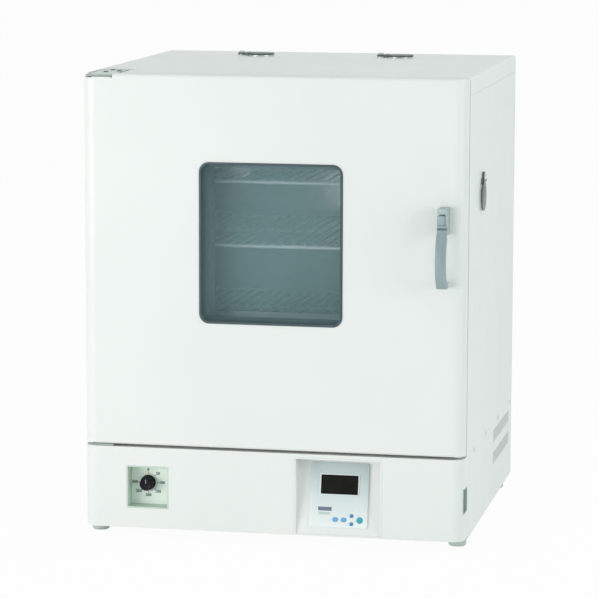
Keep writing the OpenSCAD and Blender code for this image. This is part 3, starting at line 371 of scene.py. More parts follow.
# Eased pieces
# Pressed, cast and moulded pieces have small rounded edges that catch the light.
# Each is made from its CAD solid, with every sharp edge broken by a small radius.
def islands(name):
    """The low and high corners of each separate solid of a CAD node."""
    shape = bmesh.new()
    shape.from_mesh(nodes[name].data)
    bmesh.ops.remove_doubles(shape, verts=shape.verts, dist=2e-6)
    left = set(shape.verts)
    found = []
    while left:
        stack = [left.pop()]
        group = []
        while stack:
            vert = stack.pop()
            group.append(vert.co.copy())
            for edge in vert.link_edges:
                other = edge.other_vert(vert)
                if other in left:
                    left.remove(other)
                    stack.append(other)
        low = Vector(min(v[i] for v in group) for i in range(3))
        high = Vector(max(v[i] for v in group) for i in range(3))
        found.append((low, high))
    shape.free()
    return sorted(found, key=lambda pair: tuple(pair[0]))


def mesh_of(shape, name):
    """Turns a finished shape into a mesh."""
    mesh = bpy.data.meshes.new(name)
    shape.to_mesh(mesh)
    shape.free()
    return mesh


def baked_mesh(thing):
    """The mesh that an object's modifiers or its text make."""
    return bpy.data.meshes.new_from_object(thing.evaluated_get(bpy.context.evaluated_depsgraph_get()))


def eased(name, body, material, radius, steps=2, limit=25, solid=None):
    """Stands for a CAD node: a copy of it, or of one of its solids, with its sharp edges rounded."""
    title = name + ("_eased" if solid is None else "_%d" % solid)
    shape = bmesh.new()
    shape.from_mesh(nodes[name].data)
    bmesh.ops.remove_doubles(shape, verts=shape.verts, dist=2e-6)
    if solid is not None:
        keep = islands(name)[solid]
        others = [vert for vert in shape.verts
                  if any(not keep[0][i] - 1e-5 <= vert.co[i] <= keep[1][i] + 1e-5 for i in range(3))]
        bmesh.ops.delete(shape, geom=others, context="VERTS")
    bmesh.ops.dissolve_limit(shape, angle_limit=math.radians(1), verts=shape.verts, edges=shape.edges)
    mesh = mesh_of(shape, title)
    mesh.materials.clear()
    mesh.materials.append(material)
    for polygon in mesh.polygons:
        polygon.material_index = 0
        polygon.use_smooth = True
    piece = linked(title, mesh)
    edge = piece.modifiers.new("edge", "BEVEL")
    edge.width = radius
    edge.segments = steps
    edge.limit_method = "ANGLE"
    edge.angle_limit = math.radians(limit)
    edge.harden_normals = True
    plain = baked_mesh(piece)
    piece.modifiers.clear()
    piece.data = plain
    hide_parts(name)
    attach(piece, body)
    return piece


# The port lids
# Die-cast discs with a pivot boss and a finger tab, in a dull grey anodised finish.
# Each swings on one screw in front of its port's flange.
def anodised(name, low, high, roughness=(0.34, 0.46), metallic=0.75):
    """Anodised or satin-coated light alloy."""
    material, tree, shader = new_material(name)
    tree.links.new(ramp(tree, noise(tree, 20, 2), low, high), shader.inputs["Base Color"])
    tree.links.new(spread(tree, noise(tree, 90, 3), *roughness), shader.inputs["Roughness"])
    shader.inputs["Metallic"].default_value = metallic
    relief(tree, shader, noise(tree, 1200, 2), 0.25, 0.00002)
    return material


lid_alloy = anodised("lid_alloy", (0.12, 0.15, 0.135), (0.16, 0.19, 0.175))
for name in ("left_port_lid", "right_port_lid", "side_port_lid"):
    eased(name, name, lid_alloy, 0.6 * mm)


# The hinges
# Laser-cut 3 mm plates at the top and over the base, each with a turned pin in a sintered bronze bush.
# The plates are painted grey-green; a darker copy of the paint on their sides and undersides is painted
# shade.
hinge_paint = powder_coat("hinge_paint", (0.60, 0.65, 0.62), (0.68, 0.72, 0.70), (0.4, 0.5), 420, 0.00004)
hinge_painted_shade = powder_coat("hinge_painted_shade", (0.34, 0.39, 0.36), (0.40, 0.45, 0.42), (0.5, 0.6), 420, 0.00004)
for name in ("upper_hinge_plate", "lower_hinge_plate"):
    plate = eased(name, "cabinet", hinge_paint, 0.5 * mm)
    plate.data.materials.append(hinge_painted_shade)
    # Faces that don't point up take the darker copy: painted shade.
    for polygon in plate.data.polygons:
        polygon.material_index = 0 if polygon.normal.z > 0.7 else 1


def add_cube(shape, matrix):
    """Adds a cube 1 m wide to a shape, moved and sized by matrix."""
    box = bmesh.ops.create_cube(shape, size=1)
    bmesh.ops.transform(shape, matrix=matrix, verts=box["verts"])


def door_lip(corner=16.5 * mm, setback=0.2 * mm, thick=1.5 * mm, gap=0.4 * mm, drop=2 * mm, plate_t=3 * mm):
    """A strip of the door's coated edge that closes most of the gap under the upper hinge plate."""
    plate_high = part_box("upper_hinge_plate")[1]
    under_plate = plate_high[2] - plate_t
    door_low = Vector(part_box("door_skin")[0])
    low = Vector((door_low.x + corner, door_low.y + setback, under_plate - drop))
    high = Vector((plate_high[0], door_low.y + setback + thick, under_plate - gap))
    shape = bmesh.new()
    add_cube(shape, Matrix.Translation((low + high) / 2) @ Matrix.Diagonal((*(high - low), 1)))
    piece = linked("door_lip", mesh_of(shape, "door_lip"))
    piece.data.materials.append(enamel)
    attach(piece, "door")


door_lip()


def dark_bronze():
    """Dark sintered bronze."""
    material, tree, shader = new_material("dark_bronze")
    tree.links.new(ramp(tree, noise(tree, 40, 2), (0.10, 0.085, 0.055), (0.16, 0.13, 0.08)),
                   shader.inputs["Base Color"])
    tree.links.new(spread(tree, noise(tree, 200, 2), 0.25, 0.4), shader.inputs["Roughness"])
    shader.inputs["Metallic"].default_value = 1.0
    return material


finish("hinge_bushes", dark_bronze())


# The screws
# M4 and M5 pan-head screws with a cross recess, bright in rows on the sides, black on the hinge plate.
# The lids' pivot screws keep their CAD shape.
def lathe(shape, profile, count=32):
    """Turns (radius, height) points round Z, closed where a radius is 0."""
    rings = []
    for radius, height in profile:
        if radius < 1e-9:
            rings.append([shape.verts.new((0, 0, height))])
        else:
            rings.append([shape.verts.new((radius * math.cos(2 * math.pi * i / count),
                                           radius * math.sin(2 * math.pi * i / count), height))
                          for i in range(count)])
    for low, high in zip(rings, rings[1:]):
        for i in range(count):
            j = (i + 1) % count
            corners = [low[i % len(low)], low[j % len(low)], high[j % len(high)], high[i % len(high)]]
            loop = []
            for corner in corners:
                if corner not in loop:
                    loop.append(corner)
            if len(loop) > 2:
                shape.faces.new(loop)


def screw_mesh(name, head_d, head_h, shank_d, shank_l):
    """A pan head with a cross recess over a plain shank, head towards plus Z."""
    shape = bmesh.new()
    r = head_d / 2
    rim, steps = 0.2, 6
    profile = [(0, -shank_l), (shank_d / 2, -shank_l), (shank_d / 2, 0), (r * 0.96, 0), (r, head_h * rim)]
    for i in range(1, steps + 1):
        a = math.pi / 2 * i / steps
        profile.append((r * math.cos(a) * 0.999, head_h * (rim + (1 - rim) * math.sin(a))))
    profile[-1] = (0, head_h)
    lathe(shape, profile)
    bmesh.ops.recalc_face_normals(shape, faces=shape.faces)
    cutter = bmesh.new()
    slot_l, slot_w, slot_up = 0.55 * head_d, 0.13 * head_d, 0.95 * head_h
    for turn in (0, math.pi / 2):
        add_cube(cutter, Matrix.Translation((0, 0, slot_up)) @ Matrix.Rotation(turn, 4, "Z")
                 @ Matrix.Diagonal((slot_l, slot_w, head_h, 1)))
    head = linked(name, mesh_of(shape, name))
    tool = linked(name + "_recess", mesh_of(cutter, name + "_recess"))
    cut = head.modifiers.new("recess", "BOOLEAN")
    cut.operation = "DIFFERENCE"
    cut.object = tool
    cut.solver = "EXACT"
    cut.use_self = True
    made = baked_mesh(head)
    bpy.data.objects.remove(tool)
    bpy.data.objects.remove(head)
    return made


def screw_layout_tree():
    """Geometry Nodes: one screw at each point, turned to the point's outward direction."""
    tree = bpy.data.node_groups.new("screw_layout", "GeometryNodeTree")
    face = tree.interface
    face.new_socket("Points", in_out="INPUT", socket_type="NodeSocketGeometry")
    face.new_socket("Screw", in_out="INPUT", socket_type="NodeSocketObject")
    face.new_socket("Size", in_out="INPUT", socket_type="NodeSocketFloat")
    face.new_socket("Finish", in_out="INPUT", socket_type="NodeSocketMaterial")
    face.new_socket("Geometry", in_out="OUTPUT", socket_type="NodeSocketGeometry")
    enter = tree.nodes.new("NodeGroupInput")
    leave = tree.nodes.new("NodeGroupOutput")
    info = tree.nodes.new("GeometryNodeObjectInfo")
    out = tree.nodes.new("GeometryNodeInputNamedAttribute")
    out.data_type = "FLOAT_VECTOR"
    out.inputs["Name"].default_value = "out"
    twist = tree.nodes.new("GeometryNodeInputNamedAttribute")
    twist.data_type = "FLOAT"
    twist.inputs["Name"].default_value = "twist"
    spin = tree.nodes.new("ShaderNodeCombineXYZ")
    align = tree.nodes.new("FunctionNodeAlignRotationToVector")
    align.axis = "Z"
    rotate = tree.nodes.new("FunctionNodeRotateRotation")
    rotate.rotation_space = "LOCAL"
    place = tree.nodes.new("GeometryNodeInstanceOnPoints")
    realize = tree.nodes.new("GeometryNodeRealizeInstances")
    paint = tree.nodes.new("GeometryNodeSetMaterial")
    tree.links.new(enter.outputs["Screw"], info.inputs["Object"])
    tree.links.new(out.outputs[0], align.inputs["Vector"])
    tree.links.new(twist.outputs[0], spin.inputs["Z"])
    tree.links.new(align.outputs[0], rotate.inputs["Rotation"])
    tree.links.new(spin.outputs[0], rotate.inputs["Rotate By"])
    tree.links.new(enter.outputs["Points"], place.inputs["Points"])
    tree.links.new(info.outputs["Geometry"], place.inputs["Instance"])
    tree.links.new(rotate.outputs[0], place.inputs["Rotation"])
    tree.links.new(enter.outputs["Size"], place.inputs["Scale"])
    tree.links.new(place.outputs[0], realize.inputs[0])
    tree.links.new(realize.outputs[0], paint.inputs["Geometry"])
    tree.links.new(enter.outputs["Finish"], paint.inputs["Material"])
    tree.links.new(paint.outputs[0], leave.inputs["Geometry"])
    return tree


def set_inputs(modifier, tree, values):
    """Sets a Geometry Nodes modifier's inputs by their names."""
    for item in tree.interface.items_tree:
        if item.in_out == "INPUT" and item.name in values:
            modifier[item.identifier] = values[item.name]


def made_plain(piece):
    """Turns what the modifiers make into the piece's own mesh."""
    plain = baked_mesh(piece)
    piece.modifiers.clear()
    piece.data = plain
    finish_only = [slot for slot in plain.materials if slot]
    plain.materials.clear()
    plain.materials.append(finish_only[0])
    for polygon in plain.polygons:
        polygon.material_index = 0
        polygon.use_smooth = True
    plain.set_sharp_from_angle(angle=math.radians(35))
    return piece


def lay_screws(name, mesh, places, material):
    """Screws at places, each a point and its outward direction, as one piece."""
    source = linked(name + "_source", mesh)
    cloud = bpy.data.meshes.new(name)
    cloud.from_pydata([point for point, direction in places], [], [])
    cloud.attributes.new("out", "FLOAT_VECTOR", "POINT")
    cloud.attributes.new("twist", "FLOAT", "POINT")
    for i, (point, direction) in enumerate(places):
        cloud.attributes["out"].data[i].vector = direction
        cloud.attributes["twist"].data[i].value = 0.7 * i  # no two recesses stop at the same angle
    piece = linked(name, cloud)
    modifier = piece.modifiers.new("layout", "NODES")
    modifier.node_group = screws_tree
    set_inputs(modifier, screws_tree, {"Screw": source, "Size": 1.0, "Finish": material})
    made_plain(piece)
    bpy.data.objects.remove(source)
    return piece


screws_tree = screw_layout_tree()
screw_zinc = plated_steel("screw_zinc", (0.60, 0.64, 0.62), (0.74, 0.77, 0.75), (0.32, 0.42), 400)
screw_black = plated_steel("screw_black", (0.16, 0.18, 0.17), (0.24, 0.26, 0.25), (0.4, 0.5), 400)

side_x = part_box("right_side_panel")[1][0]
side_low_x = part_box("left_side_panel")[0][0]
casing_places = []
for low, high in islands("casing_screws"):
    middle = (low + high) / 2
    right_side = middle.x > 0
    casing_places.append((Vector((side_x if right_side else side_low_x, middle.y, middle.z)),
                          Vector((1 if right_side else -1, 0, 0))))
casing = lay_screws("casing_screw_row", screw_mesh("casing_screw", 7.5 * mm, 1.8 * mm, 4 * mm, 7 * mm),
                    casing_places, screw_zinc)
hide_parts("casing_screws")
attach(casing, "cabinet")

hinge_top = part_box("upper_hinge_plate")[1][2]
hinge_places = [(Vector(((low.x + high.x) / 2, (low.y + high.y) / 2, hinge_top)), Vector((0, 0, 1)))
                for low, high in islands("hinge_screws")]
hinge_heads = lay_screws("hinge_screw_set", screw_mesh("hinge_screw", 8.5 * mm, 1.8 * mm, 5 * mm, 8 * mm),
                         hinge_places, screw_black)
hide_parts("hinge_screws")
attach(hinge_heads, "cabinet")
finish("lid_pivot_screws", screw_zinc)


# The door's outer skin
# One deep-drawn sheet with large rounded upright edges, folded back round the liner.
# It has the same off-white coat as the casing.
finish("door_skin", enamel)


# The window
# A dark pressed surround with a narrow bead on the door's face, and two tempered panes.
# The outer pane is nearly clear, and the inner one's grey-green tint dims the chamber behind it.
def pane_glass(name, tint, share):
    """Tempered glass: its tint, and the share of what is behind it that the tint hides."""
    material, tree, shader = new_material(name)
    paler = tuple(1.08 * c for c in tint)
    tree.links.new(ramp(tree, noise(tree, 5, 2), tint, paler), shader.inputs["Base Color"])
    shader.inputs["Roughness"].default_value = 0.04
    shader.inputs["IOR"].default_value = 1.5
    shader.inputs["Alpha"].default_value = share
    return material


frame_low, frame_high = (Vector(corner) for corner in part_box("window_frame"))


def along(tree, axis, start, end):
    """A number that grows from 0 to 1 along one of the piece's axes."""
    place = tree.nodes.new("ShaderNodeTexCoord")
    split = tree.nodes.new("ShaderNodeSeparateXYZ")
    share = tree.nodes.new("ShaderNodeMapRange")
    share.inputs["From Min"].default_value = start
    share.inputs["From Max"].default_value = end
    tree.links.new(place.outputs["Object"], split.inputs[0])
    tree.links.new(split.outputs[axis], share.inputs["Value"])
    return share.outputs["Result"]


def surround_material():
    """Dark blue-grey enamel, with painted shade at the front of the reveal and painted light on the ledge
    that holds the inner pane.
    """
    material, tree, shader = new_material("window_surround")
    tone = tree.nodes.new("ShaderNodeMix")
    tone.data_type = "RGBA"
    # Darker at the front, paler towards the back: painted shade and painted light.
    tree.links.new(along(tree, "Y", frame_low.y, frame_high.y), tone.inputs["Factor"])
    fine = noise(tree, 40, 2)
    tree.links.new(ramp(tree, fine, (0.048, 0.074, 0.084), (0.058, 0.088, 0.098)), tone.inputs["A"])
    tree.links.new(ramp(tree, fine, (0.118, 0.205, 0.235), (0.136, 0.228, 0.258)), tone.inputs["B"])
    tree.links.new(tone.outputs["Result"], shader.inputs["Base Color"])
    tree.links.new(spread(tree, noise(tree, 60, 2), 0.4, 0.5), shader.inputs["Roughness"])
    relief(tree, shader, noise(tree, 700, 2), 0.3, 0.00003)
    return material


eased("window_frame", "door", surround_material(), 0.4 * mm)
pane_edge = 0.5 * mm
panes = islands("window_panes")
outer = 0 if panes[0][0].y < panes[1][0].y else 1
eased("window_panes", "door", pane_glass("outer_pane", (0.62, 0.74, 0.74), 0.03), pane_edge,
      solid=outer)
eased("window_panes", "door", pane_glass("inner_pane", (0.25, 0.47, 0.515), 0.25), pane_edge,
      solid=1 - outer)


# The door gasket
# A silicone bead of D section, run round the plug in one piece with its corners turned.
# It is pressed flat against the face frame when the door is shut.
def bead_tree():
    """Geometry Nodes: a D-shaped bead swept round a rectangle with round corners."""
    tree = bpy.data.node_groups.new("bead", "GeometryNodeTree")
    face = tree.interface
    for name in ("Width", "Height", "Corner", "Bead width", "Bead height"):
        face.new_socket(name, in_out="INPUT", socket_type="NodeSocketFloat")
    face.new_socket("Finish", in_out="INPUT", socket_type="NodeSocketMaterial")
    face.new_socket("Geometry", in_out="OUTPUT", socket_type="NodeSocketGeometry")
    enter = tree.nodes.new("NodeGroupInput")
    leave = tree.nodes.new("NodeGroupOutput")
    loop = tree.nodes.new("GeometryNodeCurvePrimitiveQuadrilateral")
    corner = tree.nodes.new("GeometryNodeFilletCurve")
    corner.mode = "POLY"
    corner.inputs["Count"].default_value = 10
    section = tree.nodes.new("GeometryNodeCurvePrimitiveCircle")
    section.inputs["Resolution"].default_value = 20
    section.inputs["Radius"].default_value = 0.5
    size = tree.nodes.new("ShaderNodeCombineXYZ")
    squeeze = tree.nodes.new("GeometryNodeTransform")
    sweep = tree.nodes.new("GeometryNodeCurveToMesh")
    realize = tree.nodes.new("GeometryNodeRealizeInstances")
    paint = tree.nodes.new("GeometryNodeSetMaterial")
    tree.links.new(enter.outputs["Width"], loop.inputs["Width"])
    tree.links.new(enter.outputs["Height"], loop.inputs["Height"])
    tree.links.new(loop.outputs[0], corner.inputs["Curve"])
    tree.links.new(enter.outputs["Corner"], corner.inputs["Radius"])
    tree.links.new(enter.outputs["Bead width"], size.inputs["X"])
    tree.links.new(enter.outputs["Bead height"], size.inputs["Y"])
    tree.links.new(section.outputs[0], squeeze.inputs["Geometry"])
    tree.links.new(size.outputs[0], squeeze.inputs["Scale"])
    tree.links.new(corner.outputs[0], sweep.inputs["Curve"])
    tree.links.new(squeeze.outputs[0], sweep.inputs["Profile Curve"])
    tree.links.new(sweep.outputs[0], realize.inputs[0])
    tree.links.new(realize.outputs[0], paint.inputs["Geometry"])
    tree.links.new(enter.outputs["Finish"], paint.inputs["Material"])
    tree.links.new(paint.outputs[0], leave.inputs["Geometry"])
    return tree


def silicone_material():
    """Pale silicone rubber."""
    material, tree, shader = new_material("pale_silicone")
    tree.links.new(ramp(tree, noise(tree, 30, 2), (0.60, 0.62, 0.60), (0.68, 0.70, 0.68)),
                   shader.inputs["Base Color"])
    shader.inputs["Roughness"].default_value = 0.55
    shader.inputs["Subsurface Weight"].default_value = 0.1
    shader.inputs["Subsurface Radius"].default_value = (0.002, 0.002, 0.002)
    relief(tree, shader, noise(tree, 800, 2), 0.2, 0.00003)
    return material


gasket_low, gasket_high = (Vector(corner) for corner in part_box("door_gasket"))
gasket_band = 14 * mm
gasket_depth = gasket_high.y - gasket_low.y
gasket = linked("gasket_bead", bpy.data.meshes.new("gasket_bead"))
gasket_tree = bead_tree()
gasket_shape = gasket.modifiers.new("bead", "NODES")
gasket_shape.node_group = gasket_tree
set_inputs(gasket_shape, gasket_tree, {
    "Width": gasket_high.x - gasket_low.x - gasket_band,
    "Height": gasket_high.z - gasket_low.z - gasket_band,
    "Corner": 9 * mm, "Bead width": gasket_band, "Bead height": 2 * gasket_depth,
    "Finish": silicone_material()})
made_plain(gasket)
gasket_middle = (gasket_low + gasket_high) / 2
flat_back = -0.1 * mm
for vert in gasket.data.vertices:
    across, up, out = vert.co
    vert.co = (gasket_middle.x + across, gasket_low.y + max(out, flat_back), gasket_middle.z + up)
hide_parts("door_gasket")
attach(gasket, "door")


# The handle
# A die-cast bracket screwed to the door from inside, and a bowed pull lever that hangs in it on a pin.
# Both have a satin grey-blue coat, and the groove that crosses the lever's shield has a darker copy of it
# as painted shade.
handle_coat = anodised("handle_coat", (0.295, 0.375, 0.385), (0.335, 0.415, 0.425), (0.36, 0.46), 0.25)
bracket_coat = anodised("bracket_coat", (0.36, 0.45, 0.435), (0.41, 0.50, 0.485), (0.36, 0.46), 0.3)
eased("handle_bracket", "door", bracket_coat, 0.8 * mm, 3)
eased("handle_lever", "handle", handle_coat, 1.4 * mm, 3)
grip_low, grip_high = (Vector(corner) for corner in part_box("handle_lever"))
bracket_low, bracket_high = (Vector(corner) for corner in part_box("handle_bracket"))


def shield_mesh():
    """The lever's cast shield, across the bracket's face: a rib, a groove, then a slope into the bow."""
    # Millimetres out from the bracket's face and down from its top
    outline = [(0.6, 25.5), (2.4, 25.7), (3.1, 26.6), (3.1, 29.4), (0.9, 30.0), (0.9, 32.0), (3.2, 32.3),
               (3.4, 33.4), (2.2, 34.1), (2.6, 36.0), (5.2, 40.5), (8.3, 45.4), (7.6, 45.8), (0.6, 45.8)]
    side_gap = 0.3 * mm
    shape = bmesh.new()
    ends = []
    for x in (grip_low.x + side_gap, grip_high.x - side_gap):
        ends.append([shape.verts.new((x, bracket_low.y - out * mm, bracket_high.z - down * mm))
                     for out, down in outline])
    for i in range(len(outline)):
        j = (i + 1) % len(outline)
        shape.faces.new((ends[0][i], ends[0][j], ends[1][j], ends[1][i]))
    shape.faces.new(ends[0][::-1])
    shape.faces.new(ends[1])
    bmesh.ops.recalc_face_normals(shape, faces=shape.faces)
    mesh = mesh_of(shape, "lever_shield")
    mesh.materials.append(handle_coat)
    return mesh


shield = linked("lever_shield", shield_mesh())
shield_edge = shield.modifiers.new("edge", "BEVEL")
shield_edge.width = 0.5 * mm
shield_edge.segments = 2
shield_edge.limit_method = "ANGLE"
made_plain(shield)
groove_top, groove_foot, groove_mouth = 29.6 * mm, 32.4 * mm, 2.6 * mm
shield.data.materials.append(anodised("groove_painted_shade", (0.14, 0.19, 0.205), (0.18, 0.23, 0.25), (0.5, 0.6),
                                      0.25))
# Faces inside the groove take the darker coat: painted shade.
for polygon in shield.data.polygons:
    down, out = bracket_high.z - polygon.center.z, bracket_low.y - polygon.center.y
    if groove_top < down < groove_foot and out < groove_mouth:
        polygon.material_index = 1
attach(shield, "handle")


# The dial
# A fluted black knob on the thermostat's spindle, sunk in a moulded tray.
# A thin scale plate on the tray's floor carries a printed ring with plain numbers round the knob; its paler
# copy of the tray's green is painted light on the floor.
tray_plastic = moulded("tray_plastic", (0.55, 0.65, 0.56), (0.59, 0.69, 0.60), (0.4, 0.5))
# The tray's green made paler for the floor: painted light.
scale_plate_painted_light = moulded("scale_plate_painted_light", (0.83, 0.92, 0.85), (0.86, 0.95, 0.88), (0.5, 0.6))
knob_plastic = moulded("knob_plastic", (0.008, 0.006, 0.011), (0.012, 0.010, 0.016), (0.38, 0.48), 1400,
                       0.12)
finish("dial_tray", tray_plastic)
knob_low, knob_high = (Vector(corner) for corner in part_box("dial_knob"))
dial_x = (knob_low.x + knob_high.x) / 2
dial_z = (knob_low.z + knob_high.z) / 2


def knob_mesh(radius, length, flutes=16, around=192):
    """A tapered knob with scalloped sides, a plain skirt and a shallow dish, its front towards plus Z."""
    # Shares of the length and of the radius, and how deep the flutes are there
    outline = [(0.0, 1.0, 0.0), (0.16, 1.0, 0.0), (0.19, 0.985, 0.0), (0.22, 0.955, 0.35),
               (0.30, 0.945, 1.0), (0.60, 0.905, 1.0), (0.90, 0.865, 1.0), (0.955, 0.84, 0.8),
               (0.985, 0.79, 0.4), (1.0, 0.73, 0.0), (0.995, 0.66, 0.0), (0.965, 0.60, 0.0),
               (0.955, 0.3, 0.0)]
    flute_depth = 0.13
    shape = bmesh.new()
    rings = []
    for height, share, cut in outline:
        ring = []
        for i in range(around):
            a = 2 * math.pi * i / around
            wave = abs(math.sin(flutes * a / 2)) ** 0.6
            r = radius * share * (1 - flute_depth * cut * (1 - wave))
            ring.append(shape.verts.new((r * math.cos(a), r * math.sin(a), height * length)))
        rings.append(ring)
    for low, high in zip(rings, rings[1:]):
        for i in range(around):
            j = (i + 1) % around
            shape.faces.new((low[i], low[j], high[j], high[i]))
    shape.faces.new(rings[0][::-1])
    shape.faces.new(rings[-1])
    return mesh_of(shape, "knob")


def flat_ink(name, colour):
    """Screen-printed ink."""
    material, tree, shader = new_material(name)
    tree.links.new(ramp(tree, noise(tree, 900, 2), colour, tuple(c * 1.25 for c in colour)),
                   shader.inputs["Base Color"])
    shader.inputs["Roughness"].default_value = 0.5
    return material


dial_ink = flat_ink("dial_ink", (0.035, 0.055, 0.06))
dial_white = flat_ink("dial_white", (0.30, 0.31, 0.31))
tray_wall, ink_t = 2 * mm, 0.12 * mm
tray_floor_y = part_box("dial_tray")[1][1] - tray_wall


def joined(name, parts, material, body):
    """Several (mesh, matrix) parts as one piece."""
    shape = bmesh.new()
    for mesh, matrix in parts:
        mesh.transform(matrix)
        shape.from_mesh(mesh)
        bpy.data.meshes.remove(mesh)
    bmesh.ops.recalc_face_normals(shape, faces=shape.faces)
    piece = linked(name, mesh_of(shape, name))
    piece.data.materials.clear()
    piece.data.materials.append(material)
    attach(piece, body)
    return piece


def bar_mesh(width, height, thick):
    """A flat bar, centred, its face in the XY plane."""
    shape = bmesh.new()
    add_cube(shape, Matrix.Diagonal((width, height, thick, 1)))
    return mesh_of(shape, "bar")


def text_mesh(words, size, thick):
    """Plain figures as a flat mesh, centred."""
    letters = bpy.data.curves.new("figures", "FONT")
    letters.body = words
    letters.size = size
    letters.offset = 0.035 * size  # bold
    letters.align_x = "CENTER"
    letters.align_y = "CENTER"
    letters.extrude = thick / 2
    letters.resolution_u = 2
    holder = linked("figures", letters)
    mesh = baked_mesh(holder)
    bpy.data.objects.remove(holder)
    return mesh


def ring_mesh(radius, width, thick, start, sweep, count=72):
    """A flat arc of a ring in the XY plane."""
    shape = bmesh.new()
    rows = []
    for i in range(count + 1):
        a = start + sweep * i / count
        rows.append([shape.verts.new((r * math.cos(a), r * math.sin(a), z))
                     for r, z in ((radius, -thick / 2), (radius + width, -thick / 2),
                                  (radius + width, thick / 2), (radius, thick / 2))])
    for one, two in zip(rows, rows[1:]):
        for i in range(4):
            shape.faces.new((one[i], one[(i + 1) % 4], two[(i + 1) % 4], two[i]))
    shape.faces.new(rows[0][::-1])
    shape.faces.new(rows[-1])
    return mesh_of(shape, "ring")


def facing_front(x, z, y, turn=0.0):
    """Stands a flat mesh up to face the front."""
    upright = Matrix.Rotation(math.pi / 2, 4, "X") @ Matrix.Rotation(turn, 4, "Z")
    return Matrix.Translation((x, y, z)) @ upright


knob_gap = 1 * mm
knob_back_y = tray_floor_y - knob_gap
knob = joined("dial_knob_fluted", [(knob_mesh((knob_high.x - knob_low.x) / 2, knob_back_y - knob_low.y),
                                    facing_front(dial_x, dial_z, knob_back_y))],
              knob_plastic, "dial")
for polygon in knob.data.polygons:
    polygon.use_smooth = True
knob.data.set_sharp_from_angle(angle=math.radians(40))
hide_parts("dial_knob")

scale_start, scale_sweep, marks = math.radians(90), math.radians(-270), 7
tray_low, tray_high = (Vector(corner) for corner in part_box("dial_tray"))
dial_plate_t, plate_inset = 0.3 * mm, 2.2 * mm
tray_size, tray_middle = tray_high - tray_low, (tray_low + tray_high) / 2
joined("dial_plate", [(bar_mesh(tray_size.x - 2 * plate_inset, tray_size.z - 2 * plate_inset, dial_plate_t),
                       facing_front(tray_middle.x, tray_middle.z, tray_floor_y - dial_plate_t / 2))],
       scale_plate_painted_light, "cabinet")
print_y = tray_floor_y - dial_plate_t - ink_t / 2
ring_r, tick_r, text_r, text_r_across = 14.0 * mm, 15.6 * mm, 20.6 * mm, 22.248 * mm
dial_parts = [(ring_mesh(ring_r, 0.5 * mm, ink_t, scale_start, scale_sweep),
               facing_front(dial_x, dial_z, print_y))]
for i in range(marks):
    a = scale_start + scale_sweep * i / (marks - 1)
    across, up = math.cos(a), math.sin(a)
    dial_parts.append((bar_mesh(3.0 * mm, 0.8 * mm, ink_t),
                       facing_front(dial_x + tick_r * across, dial_z + tick_r * up, print_y, a)))
    dial_parts.append((text_mesh(str(50 * i), 6.4 * mm, ink_t),
                       facing_front(dial_x + text_r_across * across, dial_z + text_r * up, print_y)))
joined("dial_scale", dial_parts, dial_ink, "cabinet")
pointer_up, pointer_y = 5.4 * mm, knob_low.y + 0.55 * mm
joined("dial_pointer", [(bar_mesh(1.1 * mm, 8 * mm, 0.3 * mm),
                         facing_front(dial_x, dial_z + pointer_up, pointer_y))],
       dial_white, "dial")


# The controller
# A sloping enamelled recess with a moulded plate, its membrane blue-grey at the top and white lower down:
# print, with painted shade from the recess's deep top.
# A dark display stands in a pale bezel, over five sprung keys.
plate_low, plate_high = (Vector(corner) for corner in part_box("controller_plate"))


def membrane_material():
    """The plate's membrane, darker towards the top: printed blue-grey, with painted shade from the recess.
    """
    material, tree, shader = new_material("membrane_print_and_shade")
    # Darker towards the top: print and painted shade.
    fade = along(tree, "Z", plate_low.z, plate_high.z)
    colour = ramp(tree, fade, (0.86, 0.90, 0.90), (0.46, 0.545, 0.55), 0.0, 1.0)
    tree.links.new(colour, shader.inputs["Base Color"])
    shader.inputs["Roughness"].default_value = 0.38
    relief(tree, shader, noise(tree, 900, 2), 0.15, 0.00002)
    return material


finish("controller_housing", enamel)
eased("controller_plate", "cabinet", membrane_material(), 0.8 * mm, 3)


def display_material():
    """The display's dark window behind a clear face."""
    material, tree, shader = new_material("dark_display")
    tree.links.new(ramp(tree, noise(tree, 60, 2), (0.006, 0.0055, 0.005), (0.010, 0.009, 0.008)),
                   shader.inputs["Base Color"])
    shader.inputs["Roughness"].default_value = 0.4
    shader.inputs["Specular IOR Level"].default_value = 0.12
    return material


finish("display_module", display_material())
recess_depth, recess_height = 27 * mm, 119 * mm
plate_tilt = math.atan(recess_depth / recess_height)
plate_margin, plate_t = 11.5 * mm, 3 * mm
slope_up = Vector((0, math.sin(plate_tilt), math.cos(plate_tilt)))
slope_out = Vector((0, -math.cos(plate_tilt), math.sin(plate_tilt)))
slope_foot = Vector(((plate_low.x + plate_high.x) / 2,
                     plate_low.y - plate_margin * math.sin(plate_tilt) + plate_t * math.cos(plate_tilt),
                     plate_low.z - plate_margin * math.cos(plate_tilt)))


def on_plate(across, up, out=0.0):
    """Lays a flat mesh on the plate's face, at millimetres from its middle and the recess's foot."""
    place = slope_foot + Vector((across * mm, 0, 0)) + up * mm * slope_up + (plate_t + out * mm) * slope_out
    turn = Matrix((Vector((1, 0, 0)), slope_up, slope_out)).transposed().to_4x4()
    return Matrix.Translation(place) @ turn


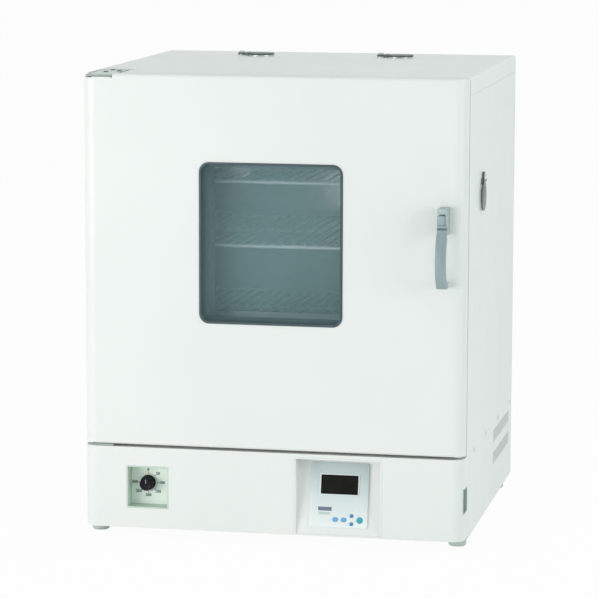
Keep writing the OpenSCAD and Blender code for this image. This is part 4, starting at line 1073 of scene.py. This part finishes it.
def bezel_mesh(width, height, band, thick):
    """A rectangular frame with a sloping inner edge, its back in the XY plane."""
    shape = bmesh.new()
    sunk, chamfer, slope = 0.3 * mm, 0.4 * mm, 0.5 * mm
    section = [(band, -sunk), (band, thick * 0.6), (band - chamfer, thick), (slope, thick), (0, -sunk)]
    corners = []
    for sx, sy in ((-1, -1), (1, -1), (1, 1), (-1, 1)):
        corners.append([shape.verts.new((sx * (width / 2 + grow), sy * (height / 2 + grow), z))
                        for grow, z in section])
    for k in range(4):
        one, two = corners[k], corners[(k + 1) % 4]
        for i in range(len(section)):
            j = (i + 1) % len(section)
            shape.faces.new((one[i], two[i], two[j], one[j]))
    return mesh_of(shape, "bezel")


display_low, display_high = (Vector(corner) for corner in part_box("display_module"))
display_width = display_high.x - display_low.x
bezel_white = moulded("bezel_white", (0.72, 0.77, 0.77), (0.77, 0.82, 0.82), (0.3, 0.4))
joined("display_bezel", [(bezel_mesh(display_width - 2.4 * mm, 29.6 * mm, 2.4 * mm, 1.3 * mm),
                          on_plate(0, 78.5))],
       bezel_white, "cabinet")
label_dark = flat_ink("label_dark", (0.13, 0.16, 0.22))
label_light = flat_ink("label_light", (0.46, 0.55, 0.52))
joined("label_bar_dark", [(bar_mesh(21.5 * mm, 6 * mm, ink_t), on_plate(-22, 40, 0.06))],
       label_dark, "cabinet")
joined("label_bar_light", [(bar_mesh(18 * mm, 4 * mm, ink_t), on_plate(-23, 33, 0.06))],
       label_light, "cabinet")


def key_material(name, colour):
    """A glossy key cap."""
    material, tree, shader = new_material(name)
    tree.links.new(ramp(tree, noise(tree, 200, 2), colour, tuple(min(1, c * 1.15) for c in colour)),
                   shader.inputs["Base Color"])
    shader.inputs["Roughness"].default_value = 0.3
    shader.inputs["Coat Weight"].default_value = 0.3
    return material


light_blue = key_material("light_blue_key", (0.115, 0.36, 0.66))
deep_blue = key_material("deep_blue_key", (0.06, 0.20, 0.50))
teal = key_material("teal_key", (0.045, 0.37, 0.48))
for name, material in (("start_button", teal), ("left_button", light_blue), ("right_button", light_blue),
                       ("up_button", deep_blue), ("down_button", deep_blue)):
    eased(name, name, material, 0.6 * mm, 3)


def board_material():
    """Green solder mask with faint traces."""
    material, tree, shader = new_material("solder_mask")
    tree.links.new(ramp(tree, noise(tree, 260, 2, (1, 1, 6)), (0.010, 0.085, 0.035), (0.02, 0.14, 0.06)),
                   shader.inputs["Base Color"])
    shader.inputs["Roughness"].default_value = 0.3
    return material


finish("controller_board", board_material())


# The breaker
# A black rocker on a cross pin, in a cup moulded to the rounded corner of the base.
# Its face is bent across the middle, so one end or the other stands proud.
eased("breaker_rocker", "breaker", black_plastic, 0.6 * mm, 3)
